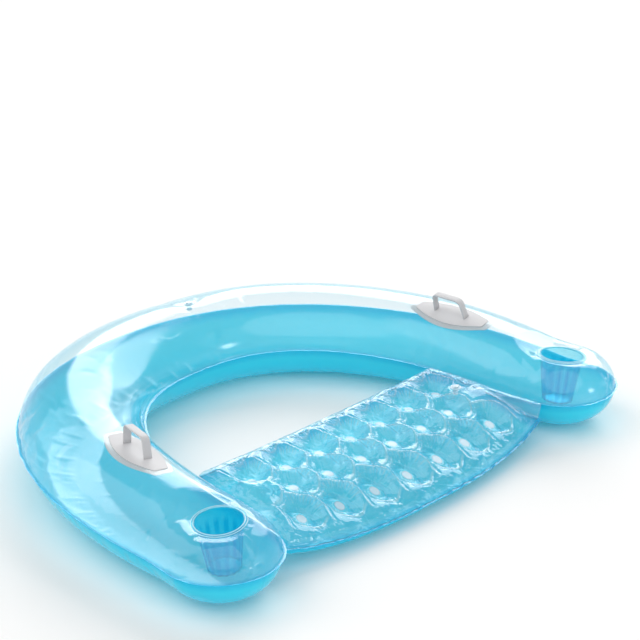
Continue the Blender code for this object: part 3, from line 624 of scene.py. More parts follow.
class POOLCHAIR_OT_ring(bpy.types.Operator):
    """Blow up the air tube's clear top sheet and blue bottom sheet"""

    bl_idname = "poolchair.ring"
    bl_label = "Air tube"

    def execute(self, context):
        tube = tube_of(context)
        build = RingBuild(tube, valve_frame("ring_valve"))
        upper = build.sheet(1)
        open_cup_holes(upper, tube)
        top = finished("ring_top", upper, clear_vinyl(), "clear_vinyl", ("ring_top_sheet",))
        bottom = finished(
            "ring_bottom", build.sheet(-1), blue_vinyl(), "blue_vinyl", ("ring_bottom_sheet",))
        for piece in (top, bottom):
            refine(piece)
        return {"FINISHED"}


# Seat panel


class SeatBuild:
    """The panel's two sheets, on the surface that hangs between the arms."""

    CORNER_FROM_TIP = 0.0475
    SIDE_GAP = 0.010
    ARM_STEPS = 120
    TIP_STEPS = 24
    TIP_TURN = 0.9
    FRONT_LEVEL = 0.030
    CORNER_LEVEL = 0.056
    FRONT_POWER = 2.2
    CORNER_POWER = 4
    SAG = 0.006
    RISE = 0.52
    EDGE_ROUND = 0.034
    DOT_DRAW = 0.016
    DOT_REACH = 5.0
    # A fold round a dot: number of rays, sway, distance from the dot and spread
    FAN = (38.0, 3.0, 0.027, 0.0085)
    GATHERS = (21.0, 4.0, 0.012, 0.0065)
    FAN_DEPTH = 0.0008
    GATHER_DEPTH = 0.00055
    FRONT_GATHERS = 0.35
    DIMPLE_DEPTH = 0.0006
    DIMPLE_RING = (0.014, 0.010)
    DOT_SEED = (31.0, 17.0)
    GATHER_RATE = 7.0
    PATCH_RATE = 1.6
    PATCH_LAYER = 9.0
    # How strong the folds are round a dot: level, towards the back, sideways and unevenness
    BEHIND = (0.45, 0.9, 0.3, 0.5)
    # Shares of the fan's valleys in the painted groove shade and of its ridges in the painted crest
    # highlight
    FAN_GROOVE_SHADE = 0.9
    FAN_CREST_HIGHLIGHT = 0.8
    PLEATS = ((1.0, 75.0, 3.0, 1.0), (0.8, 150.0, 5.0, 4.0))
    PLEAT_DEPTH = 0.0017
    PLEAT_REACH = 0.012
    PLEAT_START = 0.004
    # Where two cells meet: the upper one's shoulder, the lower one's and the groove
    CELL_REACH = 0.115
    CELL_BOW = 0.005
    IN_LINE = 0.001
    IN_LINE_BOW = 2.0
    LAP = 0.0062
    IN_LINE_LAP = 0.45
    SHOULDER_ROUND = 0.0065
    SHOULDER_REACH = 0.015
    LOW_SHOULDER = 0.25
    LOW_ROUND = 0.0022
    LOW_REACH = 0.0040
    GROOVE_WIDTH = 0.0020
    GROOVE_DEPTH = 0.28
    # Offset of the painted groove shade, and offset and width of the painted crest highlight
    GROOVE_SHIFT = 0.0006
    CREST_SHIFT = 0.0055
    CREST_WIDTH = 0.0032
    CREASE_SPAN = 2.1
    CREASE_FADE = 4.0
    FRONT_CELL_SHARE = 0.45
    DOT_GAP = 0.0004
    DOT_SHADE = 0.002
    DOT_SOLID = 0.8
    EDGE_LINE = 0.004
    # Shares of the painted shade in grooves and fold valleys, and of the painted highlight on
    # crests
    FOLD_SHADE = 0.75
    CREST_HIGHLIGHT = 0.40
    WELD_FREE = 0.006
    DOT_FREE = 0.005
    # The weld's unevenness, up and sideways: strength, rate and layer
    WELD_RISE = (0.0016, 55.0, 6.0)
    WELD_SWAY = (0.0013, 70.0, 2.0)
    ROWS = (0.255, 0.50, 0.72)
    COLUMNS = 7
    MARGIN_LINES = 3
    SIM_ALONG = 150
    SIM_ACROSS = 60
    ALONG = 470
    ACROSS = 190
    PAD = (0.015, 0.0128)
    PAD_FADE = 0.016
    PAD_SWELL = 0.0189
    PAD_HELD = 0.95
    FLAP_LIFT = 0.0021
    FLAP_THICKNESS = 0.0008
    FLAP_WAVE = 0.0005
    FLAP_RATES = (90.0, 0.6, 8.0)
    FLAP_ON_ARM = (0.82, -0.27)
    FLAP_BORDER = 0.99
    FLAP_EDGE = 0.8
    FLAP_ALONG = 120
    FLAP_ACROSS = 12
    PRESSURE = 4.0
    GROWTH = 0.010
    CAP = 0.003
    SEAM_SHADE = 0.012

    def __init__(self, tube, sizes):
        self.tube = tube
        self.sizes = sizes
        self.weld = tube.sizes.weld_width
        self.corner_y = tube.tip.y - self.CORNER_FROM_TIP
        self.back_y = self.corner_y + sizes.depth
        self.edge = self.inner_edge()
        self.half = self.edge_x((self.corner_y + self.back_y) / 2) - self.SIDE_GAP
        outer = self.half - sizes.dot_margin
        self.columns = [float(column) for column in np.linspace(-outer, outer, self.COLUMNS)]
        pitch = self.columns[1] - self.columns[0]
        self.dots, beyond = [], []
        for number, row in enumerate(self.ROWS):
            columns = self.columns
            if number % 2:
                columns = [(a + b) / 2 for a, b in zip(columns, columns[1:])]
            self.dots += [(column, row * sizes.depth) for column in columns]
            ends = (columns[0] - pitch, columns[-1] + pitch)
            beyond += [(end, row * sizes.depth) for end in ends]
        front = self.ROWS[0] * sizes.depth * (2.0 * self.FRONT_CELL_SHARE - 1.0)
        for line in (front, sizes.depth):
            beyond += [(column, line) for column in self.columns]
        self.cells = self.dots + beyond
        self.near_cells = self.tree(self.cells)
        self.near_dots = self.tree(self.dots)
        beside = outer + (sizes.dot_margin - self.weld) / self.MARGIN_LINES
        self.valve = (beside, (self.ROWS[1] + self.ROWS[2]) / 2 * sizes.depth)
        self.blown = Blown(
            self.SIM_ALONG, self.SIM_ACROSS, self.simulated_spot, self.held,
            self.PRESSURE, self.GROWTH, self.CAP)

    def tree(self, spots):
        """Finder of the nearest spots."""
        found = kdtree.KDTree(len(spots))
        for number, (u, v) in enumerate(spots):
            found.insert((u, v, 0.0), number)
        found.balance()
        return found

    def inner_edge(self):
        """The arm's inner weld edge, as rows of y, x and level, sorted by y."""
        tube = self.tube
        arm = np.linspace(0.5, 1.0, self.ARM_STEPS)
        tip = np.linspace(0.0, self.TIP_TURN, self.TIP_STEPS)[1:]
        places = [(share, 0.0) for share in arm] + [(1.0, float(turn)) for turn in tip]
        found = []
        for share, turn in places:
            reach = 1.0 + self.weld / tube.half_width(share)
            point = tube.place(share, -reach, turn, 1.0)
            found.append((point.y, point.x, tube.height(share) / 2))
        return np.array(sorted(found))

    def edge_x(self, y):
        return float(np.interp(y, self.edge[:, 0], self.edge[:, 1]))

    def edge_level(self, y):
        return float(np.interp(y, self.edge[:, 0], self.edge[:, 2]))

    def middle(self, across, along):
        """The panel's middle surface, across from -1 to 1 and along from 0 at the front."""
        side = min(abs(across), 1.0)
        front_y = self.corner_y - self.sizes.front_bulge * (1.0 - side ** self.FRONT_POWER)
        y = front_y + (self.back_y - front_y) * along
        drop = (self.CORNER_LEVEL - self.FRONT_LEVEL) * side ** self.CORNER_POWER
        front_z = self.FRONT_LEVEL + drop
        held_y = self.corner_y + (self.back_y - self.corner_y) * along
        back_z = self.edge_level(held_y) - self.SAG * (1.0 - side ** 2)
        z = front_z + (back_z - front_z) * ease(along / self.RISE)
        return Vector((across * (self.edge_x(held_y) - self.SIDE_GAP), y, z))

    def normal(self, across, along):
        step = 0.002
        sideways = self.middle(across + step, along) - self.middle(across - step, along)
        backwards = self.middle(across, along + step) - self.middle(across, along - step)
        return sideways.cross(backwards).normalized()

    def valve_share(self, u, v):
        """1 on the flat pad under the valve, easing to 0 around it."""
        beyond = max(abs(u - self.valve[0]) - self.PAD[0], abs(v - self.valve[1]) - self.PAD[1])
        return 1.0 - ease(beyond / self.PAD_FADE)

    def swell(self, u, v):
        """Half the panel's thickness: none at welds and dots."""
        inside = min(max(self.weld_distance(u, v) / self.EDGE_ROUND, 0.0), 1.0)
        height = self.sizes.swell * math.sqrt(1.0 - (1.0 - inside) ** 2)
        for dot_u, dot_v in self.dots:
            away = max(math.hypot(u - dot_u, v - dot_v) - self.sizes.dot_radius, 0.0)
            if away < self.DOT_DRAW * self.DOT_REACH:
                height *= 1.0 - math.exp(-away ** 2 / (2.0 * self.DOT_DRAW ** 2))
        flat = self.valve_share(u, v)
        return height + (self.PAD_SWELL - height) * flat if flat > 0.0 else height

    def pattern(self, x, y, along, across):
        """A grid place's spot on the flat pattern, with a row of its own for the weld."""

        def spread(value, cells, size):
            inside = 1.0 - 2.0 / cells
            if abs(value) > inside + 0.5 / cells:
                return math.copysign(size, value)
            return value / inside * (size - self.weld)

        half_depth = self.sizes.depth / 2
        return spread(x, along, self.half), spread(y, across, half_depth) + half_depth

    def raised(self, u, v, face, extra=0.0):
        across = u / self.half
        along = v / self.sizes.depth
        lift = max(self.swell(u, v) + extra, 0.0)
        if self.weld_distance(u, v) > MERGE:
            lift = max(lift, self.DOT_GAP)
        return self.middle(across, along) + self.normal(across, along) * (face * lift)

    def simulated_spot(self, x, y, face):
        u, v = self.pattern(x, y, self.SIM_ALONG, self.SIM_ACROSS)
        return self.raised(u, v, face)

    def weld_distance(self, u, v):
        return min(self.half - abs(u), v, self.sizes.depth - v) - self.weld

    def nearest_dot(self, u, v):
        return self.dots[self.near_dots.find((u, v, 0.0))[1]]

    def held(self, x, y, face):
        u, v = self.pattern(x, y, self.SIM_ALONG, self.SIM_ACROSS)
        dot_u, dot_v = self.nearest_dot(u, v)
        if math.hypot(u - dot_u, v - dot_v) < self.sizes.dot_radius:
            return 1.0
        if face > 0 and self.valve_share(u, v) > self.PAD_HELD:
            return 1.0
        return 1.0 if self.weld_distance(u, v) < MERGE else 0.0

    def wrinkles(self, u, v, face):
        """Gathers, pleats and creases: their height, their painted groove shade and crest
        highlight.
        """
        dot_u, dot_v = self.nearest_dot(u, v)
        sideways, forward = u - dot_u, v - dot_v
        reach = math.hypot(sideways, forward) - self.sizes.dot_radius
        turn = math.atan2(forward, sideways)
        ring_x, ring_y = math.cos(turn), math.sin(turn)
        seed = dot_u * self.DOT_SEED[0] + dot_v * self.DOT_SEED[1] + face
        gather = uneven(1.0, ring_x * self.GATHER_RATE, ring_y * self.GATHER_RATE, seed)
        patch = uneven(
            1.0, ring_x * self.PATCH_RATE, ring_y * self.PATCH_RATE, seed + self.PATCH_LAYER)
        level, back, side, rough = self.BEHIND
        behind = ease(level + back * ring_y + side * ring_x + rough * patch)

        def rays(number, sway, distance, spread):
            return math.sin(turn * number + sway * gather + seed) * bell(reach - distance, spread)

        fan = rays(*self.FAN) * behind
        near = rays(*self.GATHERS) * (self.FRONT_GATHERS + (1.0 - self.FRONT_GATHERS) * behind)
        depth = self.FAN_DEPTH * fan + self.GATHER_DEPTH * near
        depth += self.DIMPLE_DEPTH * gather * bell(reach - self.DIMPLE_RING[0], self.DIMPLE_RING[1])
        edge = self.weld_distance(u, v)
        if edge > 0.0:
            ends = min(v, self.sizes.depth - v) - self.weld
            pleats = folds(self.PLEATS, u if ends < edge + MERGE else v, face)
            near = math.exp(-edge / self.PLEAT_REACH) * min(edge / self.PLEAT_START, 1.0)
            depth += self.PLEAT_DEPTH * pleats * near
        lift, groove_shade, crest_highlight = self.crease(u, v)
        groove_shade = max(groove_shade, -self.FAN_GROOVE_SHADE * fan)
        return depth + lift, groove_shade, max(crest_highlight, self.FAN_CREST_HIGHLIGHT * fan)

    def crease(self, u, v):
        """The rounded shoulder and the groove where two cells meet, with marks of painted shade in
        the groove and painted highlight on the crest.

        Of two neighbours, the one with less u (or else with more v) stands over the other.
        """
        found = [number for _, number, _ in self.near_cells.find_n((u, v, 0.0), 3)]
        real = len(self.dots)
        lift = groove_shade = crest_highlight = 0.0
        for other in found[1:]:
            if found[0] >= real and other >= real:
                continue
            pair = sorted((self.cells[found[0]], self.cells[other]),
                          key=lambda cell: (round(cell[0], 3), -cell[1]))
            first, second = pair
            gap = math.hypot(second[0] - first[0], second[1] - first[1])
            if gap > self.CELL_REACH:
                continue
            bow, lap = self.CELL_BOW, self.LAP
            if abs(second[0] - first[0]) < self.IN_LINE:
                bow, lap = bow * self.IN_LINE_BOW, lap * self.IN_LINE_LAP
            along_u, along_v = (second[0] - first[0]) / gap, (second[1] - first[1]) / gap
            from_u, from_v = u - (first[0] + second[0]) / 2, v - (first[1] + second[1]) / 2
            beside = (from_v * along_u - from_u * along_v) / gap
            away = from_u * along_u + from_v * along_v - bow * math.cos(beside * 2.0 * math.pi)
            fade = ease(self.CREASE_SPAN - abs(beside) * self.CREASE_FADE)
            if away < 0.0:
                rise = 1.0 - bell(away, self.SHOULDER_ROUND)
                shoulder = rise * math.exp(away / self.SHOULDER_REACH)
            else:
                rise = self.LOW_SHOULDER * (1.0 - bell(away, self.LOW_ROUND))
                shoulder = rise * math.exp(-away / self.LOW_REACH)
            dent = self.GROOVE_DEPTH * bell(away, self.GROOVE_WIDTH)
            lift += fade * lap * (shoulder - dent)
            groove_shade = max(groove_shade, fade * bell(away - self.GROOVE_SHIFT, self.GROOVE_WIDTH))
            crest_highlight = max(crest_highlight, fade * bell(away + self.CREST_SHIFT, self.CREST_WIDTH))
        return lift, groove_shade, crest_highlight

    def weld_wave(self, wave, u, v):
        strength, rate, layer = wave
        return uneven(strength, u * rate, v * rate, layer)

    def sheet(self, face):
        body = bmesh.new()
        weld = body.verts.layers.float.new("weld")
        dot = body.verts.layers.float.new("dot")
        line = body.verts.layers.float.new("edge")
        radius = self.sizes.dot_radius
        for vert, x, y in grid_into(body, self.ALONG, self.ACROSS):
            u, v = self.pattern(x, y, self.ALONG, self.ACROSS)
            edge = self.weld_distance(u, v)
            dot_u, dot_v = self.nearest_dot(u, v)
            away = math.hypot(u - dot_u, v - dot_v)
            # Weld mark: the weld's own deeper blue and, over SEAM_SHADE beside it, painted shade
            vert[weld] = 1.0 - ease(edge / self.SEAM_SHADE)
            free = ease(edge / self.WELD_FREE) * ease((away - radius) / self.DOT_FREE)
            free *= 1.0 - self.valve_share(u, v)
            extra, fold, crest_highlight = self.wrinkles(u, v, face)
            # Edge mark: deeper tint along the weld border, and painted shade in the grooves and
            # fold valleys
            vert[line] = max(1.0 - ease(edge / self.EDGE_LINE), self.FOLD_SHADE * fold * free)
            # Dot mark: paler film on the weld dots, partly the weld's own haze and partly painted
            # highlight, and painted highlight on the crests
            vert[dot] = max(1.0 - ease((away - radius * self.DOT_SOLID) / self.DOT_SHADE),
                            self.CREST_HIGHLIGHT * crest_highlight * free)
            moved = self.blown.move(x, y, face) * free
            vert.co = self.raised(u, v, face, extra * free) + moved
            if edge < MERGE:
                vert.co.z += self.weld_wave(self.WELD_RISE, u, v)
                vert.co.y += self.weld_wave(self.WELD_SWAY, u, v)
                vert.co.z += face * self.DOT_GAP / 2
        facing(body, face)
        return body

    def flap(self, side):
        """The strip that laps over an arm's inner weld and the panel's side weld."""
        body = bmesh.new()
        line = body.verts.layers.float.new("edge")
        inset = 1.0 - self.weld / self.half
        outer, inner = self.FLAP_ON_ARM
        run_rate, across_rate, side_step = self.FLAP_RATES
        for vert, x, y in grid_into(body, self.FLAP_ALONG, self.FLAP_ACROSS):
            along = 0.5 + x * (0.5 - self.weld / self.sizes.depth)
            held_y = self.corner_y + self.sizes.depth * along
            arm = Vector((side * self.edge_x(held_y), held_y, self.edge_level(held_y)))
            across = Vector((side * self.weld, 0.0, 0.0))
            corners = (arm + across * outer, arm + across * inner,
                       self.middle(side, along), self.middle(side * inset, along))
            parts = len(corners) - 1
            place = (y + 1.0) / 2 * parts
            number = min(int(place), parts - 1)
            point = corners[number].lerp(corners[number + 1], place - number)
            wave = uneven(
                self.FLAP_WAVE, held_y * run_rate, y * across_rate, side * side_step)
            vert.co = point + Vector((0.0, 0.0, self.FLAP_LIFT + wave))
            vert[line] = self.FLAP_EDGE if max(abs(x), abs(y)) > self.FLAP_BORDER else 0.0
        facing(body, 1)
        return body


class POOLCHAIR_OT_seat(bpy.types.Operator):
    """Blow up the seat panel between its weld dots"""

    bl_idname = "poolchair.seat"
    bl_label = "Seat panel"

    def execute(self, context):
        build = SeatBuild(tube_of(context), context.scene.poolchair_seat)
        for name, face, surface, slot, node in (
            ("seat_top", 1, clear_vinyl(), "clear_vinyl", "seat_top_sheet"),
            ("seat_bottom", -1, blue_vinyl(), "blue_vinyl", "seat_bottom_sheet"),
        ):
            piece = finished(name, build.sheet(face), surface, slot, (node,))
        for node, side in (("seat_flap_right", 1.0), ("seat_flap_left", -1.0)):
            strip = finished(
                node + "_finish", build.flap(side), clear_vinyl(), "clear_vinyl", (node,))
            thickness = strip.modifiers.new("thickness", "SOLIDIFY")
            thickness.thickness = build.FLAP_THICKNESS
            thickness.offset = -1.0
        return {"FINISHED"}


# Cup holders


class CupBuild:
    """One cup holder: fluted wall, floor disc and welded rim."""

    PLAIN_BAND = 0.014
    FLUTE_DEPTH = 0.0018
    FLUTE_POWER = 0.6
    FLUTE_STEPS = 14
    # Contrast of the painted shade on every second side of the flutes
    FLUTE_SHADE_CONTRAST = 1.2
    WALL_ROWS = 14
    LIP_ROUND = 0.3
    RIM_STEPS = 10
    RIM_WIDTH = 0.0078
    RIM_HEIGHT = 0.0032
    # The rim's inner and outer bead: distance from its side, and share of its height
    INNER_BEAD = ((0.0, 0.65), (0.0005, 0.95), (0.0012, 1.0), (0.0020, 0.82), (0.0026, 0.48))
    OUTER_BEAD = ((0.0026, 0.38), (0.0020, 0.60), (0.0012, 0.72), (0.0004, 0.55))
    RIM_EDGE = 0.0007
    # Where the rim's painted highlight lies: on the crest of each bead
    BEAD_AT = 0.0011
    BEAD_REACH = 0.0012
    BEAD_LEVEL = 0.001
    FLOOR = 0.0020
    FLOOR_DOME = 0.0012
    # The dome's shoulder: shares of the floor's radius and of the dome's height
    DOME_SHOULDER = (0.45, 0.75)
    DOME_EDGE = 0.8
    GAP = 0.0003

    def __init__(self, tube, side):
        self.sizes = tube.cups
        origin = Vector((side * tube.tip.x, tube.tip.y, self.sizes.mouth_level))
        turn = Matrix.Rotation(side * self.sizes.tilt, 4, "Y")
        self.place = Matrix.Translation(origin) @ turn

    def fluted(self, co):
        strength = ease((-co.z - self.PLAIN_BAND) / self.PLAIN_BAND)
        wave = math.cos(self.sizes.flutes * math.atan2(co.y, co.x))
        wave = math.copysign(abs(wave) ** self.FLUTE_POWER, wave)
        draw = self.FLUTE_DEPTH * strength * (wave - 1.0) / 2
        radius = math.hypot(co.x, co.y)
        if radius < MERGE:
            return co
        scale = (radius + draw * min(radius / self.sizes.floor_radius, 1.0)) / radius
        return Vector((co.x * scale, co.y * scale, co.z))

    def radius(self, depth, inset):
        sizes = self.sizes
        drop = (sizes.floor_radius - sizes.mouth_radius) * max(depth, 0.0) / sizes.depth
        return sizes.mouth_radius + sizes.wall + drop - inset

    def wall(self):
        sizes = self.sizes
        depths = [-self.RIM_HEIGHT, 0.0, self.PLAIN_BAND / 2, self.PLAIN_BAND]
        rows = np.linspace(self.PLAIN_BAND, sizes.depth, self.WALL_ROWS)
        depths += [float(depth) for depth in rows[1:]]
        outer = [(self.radius(depth, 0.0), -depth) for depth in depths]
        inner = [(self.radius(depth, sizes.wall), -depth) for depth in depths]
        lip = [(self.radius(0.0, sizes.wall / 2), self.RIM_HEIGHT + sizes.wall * self.LIP_ROUND)]
        profile = outer[::-1] + lip + inner
        steps = sizes.flutes * self.FLUTE_STEPS
        return self.folded(spun(profile, self.place, steps, True, self.fluted))

    def folded(self, body):
        """Mark every second side of the flutes with painted shade, for the deep blue of the finish.
        """
        weld = body.verts.layers.float.new("weld")
        back = self.place.inverted()
        for vert in body.verts:
            near = back @ vert.co
            strength = ease((-near.z - self.PLAIN_BAND) / self.PLAIN_BAND)
            wave = math.sin(self.sizes.flutes * math.atan2(near.y, near.x))
            vert[weld] = strength * ease(0.5 + self.FLUTE_SHADE_CONTRAST * wave)
        return body

    def floor(self):
        top = self.FLOOR + self.GAP - self.sizes.depth
        low = top - self.FLOOR
        radius = self.sizes.floor_radius - self.GAP
        dome = self.FLOOR_DOME
        share, rise = self.DOME_SHOULDER
        edge = radius * self.DOME_EDGE
        profile = [(0.0, top + dome), (radius * share, top + dome * rise), (edge, top),
                   (radius, top), (radius, low), (edge, low), (0.0, low + dome / 2)]
        steps = self.sizes.flutes * self.FLUTE_STEPS
        return spun(profile, self.place, steps, False, self.fluted)

    def rim(self):
        inner = self.sizes.mouth_radius + self.sizes.wall + self.GAP
        outer = inner + self.RIM_WIDTH
        crown = self.RIM_HEIGHT
        profile = [(inner + away, crown * share) for away, share in self.INNER_BEAD]
        profile += [(outer - away, crown * share) for away, share in self.OUTER_BEAD]
        profile += [(outer, self.RIM_EDGE), (outer, self.GAP), (inner, self.GAP)]
        body = spun(profile, self.place, self.sizes.flutes * self.RIM_STEPS, True)
        # Mark the beads' crests for the painted highlight of the rim's finish
        painted_bead_highlight = body.verts.layers.float.new("painted_bead_highlight")
        back = self.place.inverted()
        for vert in body.verts:
            near = back @ vert.co
            reach = math.hypot(near.x, near.y)
            away = min(abs(reach - inner - self.BEAD_AT), abs(reach - outer + self.BEAD_AT))
            raised = near.z > self.BEAD_LEVEL and away < self.BEAD_REACH
            vert[painted_bead_highlight] = 1.0 if raised else 0.0
        return body


class POOLCHAIR_OT_cups(bpy.types.Operator):
    """Turn the fluted cup holders"""

    bl_idname = "poolchair.cups"
    bl_label = "Cup holders"

    def execute(self, context):
        tube = tube_of(context)
        for label, side in (("right", 1.0), ("left", -1.0)):
            build = CupBuild(tube, side)
            for part, body in (("wall", build.wall()), ("floor", build.floor()),
                               ("rim", build.rim())):
                node = "cup_" + part + "_" + label
                surface = cup_rim_vinyl() if part == "rim" else cup_vinyl()
                finished(node + "_finish", body, surface, "cup_vinyl", (node,))
        return {"FINISHED"}


# Grab handles


class HandleBuild:
    """One moulded handle: welded patch, raised plate and finger strap."""

    CORNER = 0.12
    CORNER_BEND = ((0.45, 0.2), (0.1, 0.55), (0.0, 1.1))
    END = 0.50
    SIDE_POINTS = 17
    PATCH_THICKNESS = 0.0010
    PLATE_THICKNESS = 0.0022
    GAP = 0.0003
    STRAP_THICKNESS = 0.0038
    FOOT_SPAN = 0.084
    TOP_SPAN = 0.074
    LEAN = 0.013
    SINK = 0.0025
    BEND = 0.012
    BEND_STEPS = 8
    LEG_STEP = 0.35
    ROUND = 0.0008
    # Parts of that round: where its corner is cut, and the flat band inside it
    ROUND_CUT = 0.3
    ROUND_BAND = 2.5
    INNER_RINGS = (0.85, 0.65, 0.45, 0.25, 0.10)
    STRAP_ROUND = 0.0013
    ROUND_STEPS = 4
    SHARE_STEP = 0.002
    ANGLE_STEP = 0.01

    def __init__(self, tube, sizes, side):
        self.tube = tube
        self.sizes = sizes
        self.side = side
        self.share = 1.0 - sizes.from_tip / tube.total
        self.angle = math.acos(sizes.inward / tube.half_width(self.share))
        origin = tube.skin(self.share, self.angle)
        step = 0.001
        ahead = tube.skin(self.share + step, self.angle) - origin
        over = tube.skin(self.share, self.angle + step) - origin
        normal = over.cross(ahead)
        if normal.z < 0.0:
            normal.negate()
        self.place = frame_at(origin, ahead, normal)
        self.back = self.place.inverted()

    def on_skin(self, along, over, lift):
        """A point above the tube's skin, at a place of the handle's flat pattern."""
        width = self.tube.half_width(self.share)
        share = self.share + along / self.tube.total
        angle = self.angle + over / width
        for _ in range(4):
            near = self.back @ self.tube.skin(share, angle)
            share += (along - near.x) / self.tube.total
            angle += (over - near.y) / width
        point = self.tube.skin(share, angle)
        ahead = self.tube.skin(share + self.SHARE_STEP, angle) - point
        beside = self.tube.skin(share, angle + self.ANGLE_STEP) - point
        normal = beside.cross(ahead).normalized()
        if normal.z < 0.0:
            normal.negate()
        return point + normal * lift

    def outline(self, length, width):
        """Outline with bowed long sides and short straight ends, as a loop of points."""
        half_length, half_width = length / 2, width / 2
        corner = self.CORNER * width
        end = half_width * self.END
        long_side = []
        for number in range(self.SIDE_POINTS):
            share = number / (self.SIDE_POINTS - 1) * 2.0 - 1.0
            bow = half_width - (half_width - end) * share ** 2
            long_side.append((share * (half_length - corner), bow))
        bend = [(half_length - corner * back, end - corner * down)
                for back, down in self.CORNER_BEND]
        mirrored = [(forward, -sideways) for forward, sideways in reversed(bend)]
        short_side = bend + [(half_length, 0.0)] + mirrored
        half = long_side + short_side
        return half + [(-forward, -sideways) for forward, sideways in half]

    def shell(self, length, width, bottom, top):
        """A raised sheet with a rounded edge, from rings that shrink to its middle."""
        bend = self.ROUND
        cut = bend * self.ROUND_CUT
        band = bend * self.ROUND_BAND
        rings = []
        for inset, lift in (
                (0.0, bottom), (0.0, top - bend), (cut, top - cut), (bend, top), (band, top)):
            loop = self.outline(length - inset * 2, width - inset * 2)
            rings.append([self.on_skin(along, over, lift) for along, over in loop])
        for scale in self.INNER_RINGS:
            rings.append([self.on_skin(a * scale, b * scale, top) for a, b in loop])
        body = bmesh.new()
        loops = self.bridged(body, rings)
        bmesh.ops.contextual_create(body, geom=loops[-1])
        bmesh.ops.recalc_face_normals(body, faces=body.faces)
        middle = max(body.faces, key=lambda found: len(found.verts))
        if middle.normal.z < 0.0:
            bmesh.ops.reverse_faces(body, faces=body.faces)
        return body

    def bridged(self, body, rings):
        """Closed rings of points on this handle's side, bridged one to the next."""
        loops = []
        for ring in rings:
            line = [body.verts.new((p.x * self.side, p.y, p.z)) for p in ring]
            loops.append([body.edges.new(pair) for pair in zip(line, line[1:] + line[:1])])
        for before, after in zip(loops, loops[1:]):
            bmesh.ops.bridge_loops(body, edges=before + after)
        return loops

    def strap_line(self):
        """Side view of the strap's middle line, with rounded knees."""
        foot, top = self.FOOT_SPAN / 2, self.TOP_SPAN / 2
        inset = self.STRAP_THICKNESS / 2
        height = self.sizes.strap_height - inset
        corners = [Vector((-foot + inset, -self.SINK)),
                   Vector((-top - self.LEAN + inset, height)),
                   Vector((top - self.LEAN - inset, height)),
                   Vector((foot - inset, -self.SINK))]
        line = [corners[0], corners[0].lerp(corners[1], self.LEG_STEP)]
        for number in (1, 2):
            corner = corners[number]
            start = corner + (corners[number - 1] - corner).normalized() * self.BEND
            end = corner + (corners[number + 1] - corner).normalized() * self.BEND
            for step in range(self.BEND_STEPS + 1):
                share = step / self.BEND_STEPS
                line.append(start.lerp(corner, share).lerp(corner.lerp(end, share), share))
        return line + [corners[2].lerp(corners[3], 1.0 - self.LEG_STEP), corners[3]]

    def strap(self):
        """The strap: a flat section with rounded edges, carried along its side view."""
        bend = self.STRAP_ROUND
        wide = self.sizes.strap_width / 2 - bend
        thick = self.STRAP_THICKNESS / 2 - bend
        section = []
        for over, out, start in ((wide, thick, 0), (-wide, thick, 90),
                                 (-wide, -thick, 180), (wide, -thick, 270)):
            for step in range(self.ROUND_STEPS):
                turn = math.radians(start + step * 90 / (self.ROUND_STEPS - 1))
                section.append((over + bend * math.cos(turn), out + bend * math.sin(turn)))
        line = self.strap_line()
        rings = []
        for number, point in enumerate(line):
            before = line[max(number - 1, 0)]
            after = line[min(number + 1, len(line) - 1)]
            heading = (after - before).normalized()
            normal = Vector((-heading.y, heading.x))
            rings.append([
                self.place @ Vector((point.x + normal.x * out, over, point.y + normal.y * out))
                for over, out in section])
        body = bmesh.new()
        loops = self.bridged(body, rings)
        bmesh.ops.contextual_create(body, geom=loops[0])
        bmesh.ops.contextual_create(body, geom=loops[-1])
        bmesh.ops.recalc_face_normals(body, faces=body.faces)
        return body


class POOLCHAIR_OT_handles(bpy.types.Operator):
    """Mould the handles onto the arms"""

    bl_idname = "poolchair.handles"
    bl_label = "Handles"

    def execute(self, context):
        tube = tube_of(context)
        sizes = context.scene.poolchair_handle
        for label, side in (("right", 1.0), ("left", -1.0)):
            build = HandleBuild(tube, sizes, side)
            low = build.PATCH_THICKNESS + build.GAP
            patch = build.shell(sizes.patch_length, sizes.patch_width, 0.0, low)
            plate = build.shell(
                sizes.plate_length, sizes.plate_width, low, low + build.PLATE_THICKNESS)
            finished("handle_patch_" + label + "_finish", patch, white_vinyl(),
                     "white_vinyl", ("handle_patch_" + label,))
            finished("handle_plate_" + label, plate, white_vinyl(),
                     "white_vinyl", ("handle_grip_" + label,))
            finished("handle_strap_" + label, build.strap(), white_vinyl(), "white_vinyl")
        return {"FINISHED"}


# Air valves

PLUG_FROM_AXIS = 0.0098
PLUG_ABOVE_COLLAR = 0.00405


def valve_frame(prefix):
    """A valve's frame, from the places and axes of its joints."""
    joints = {joint["name"]: joint for joint in frame["record"]["behaviour"]["joints"]}
    up = Vector(joints[prefix + "_pull_out"]["axis"])
    plug = joints[prefix + "_plug_open"]
    side = -Vector(plug["axis"])
    ahead = side.cross(up).normalized()
    origin = Vector(plug["pos_m"]) + ahead * PLUG_FROM_AXIS - up * PLUG_ABOVE_COLLAR
    return frame_at(origin, ahead, up)


def dress(node, surface):
    """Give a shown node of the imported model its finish."""
    mesh = frame["nodes"][node].data
    mesh.materials.clear()
    mesh.materials.append(surface)


class POOLCHAIR_OT_valves(bpy.types.Operator):
    """Finish the two air valves"""

    bl_idname = "poolchair.valves"
    bl_label = "Air valves"

    def execute(self, context):
        for prefix in ("ring_valve", "seat_valve"):
            for part in ("collar", "stem", "plug", "flap"):
                dress(prefix + "_" + part, valve_vinyl())
        return {"FINISHED"}


# Finishes

WHITE = (1.0, 1.0, 1.0, 1.0)
# Pale blue of the painted highlight on the cup rims' beads
BEAD_HIGHLIGHT_BLUE = (0.62, 0.90, 0.97, 1.0)
MILK = (0.80, 0.90, 0.94, 1.0)
CLEAR_HAZE = (0.88, 0.97, 1.0, 1.0)
CLEAR_FACE = (0.965, 0.99, 1.0)
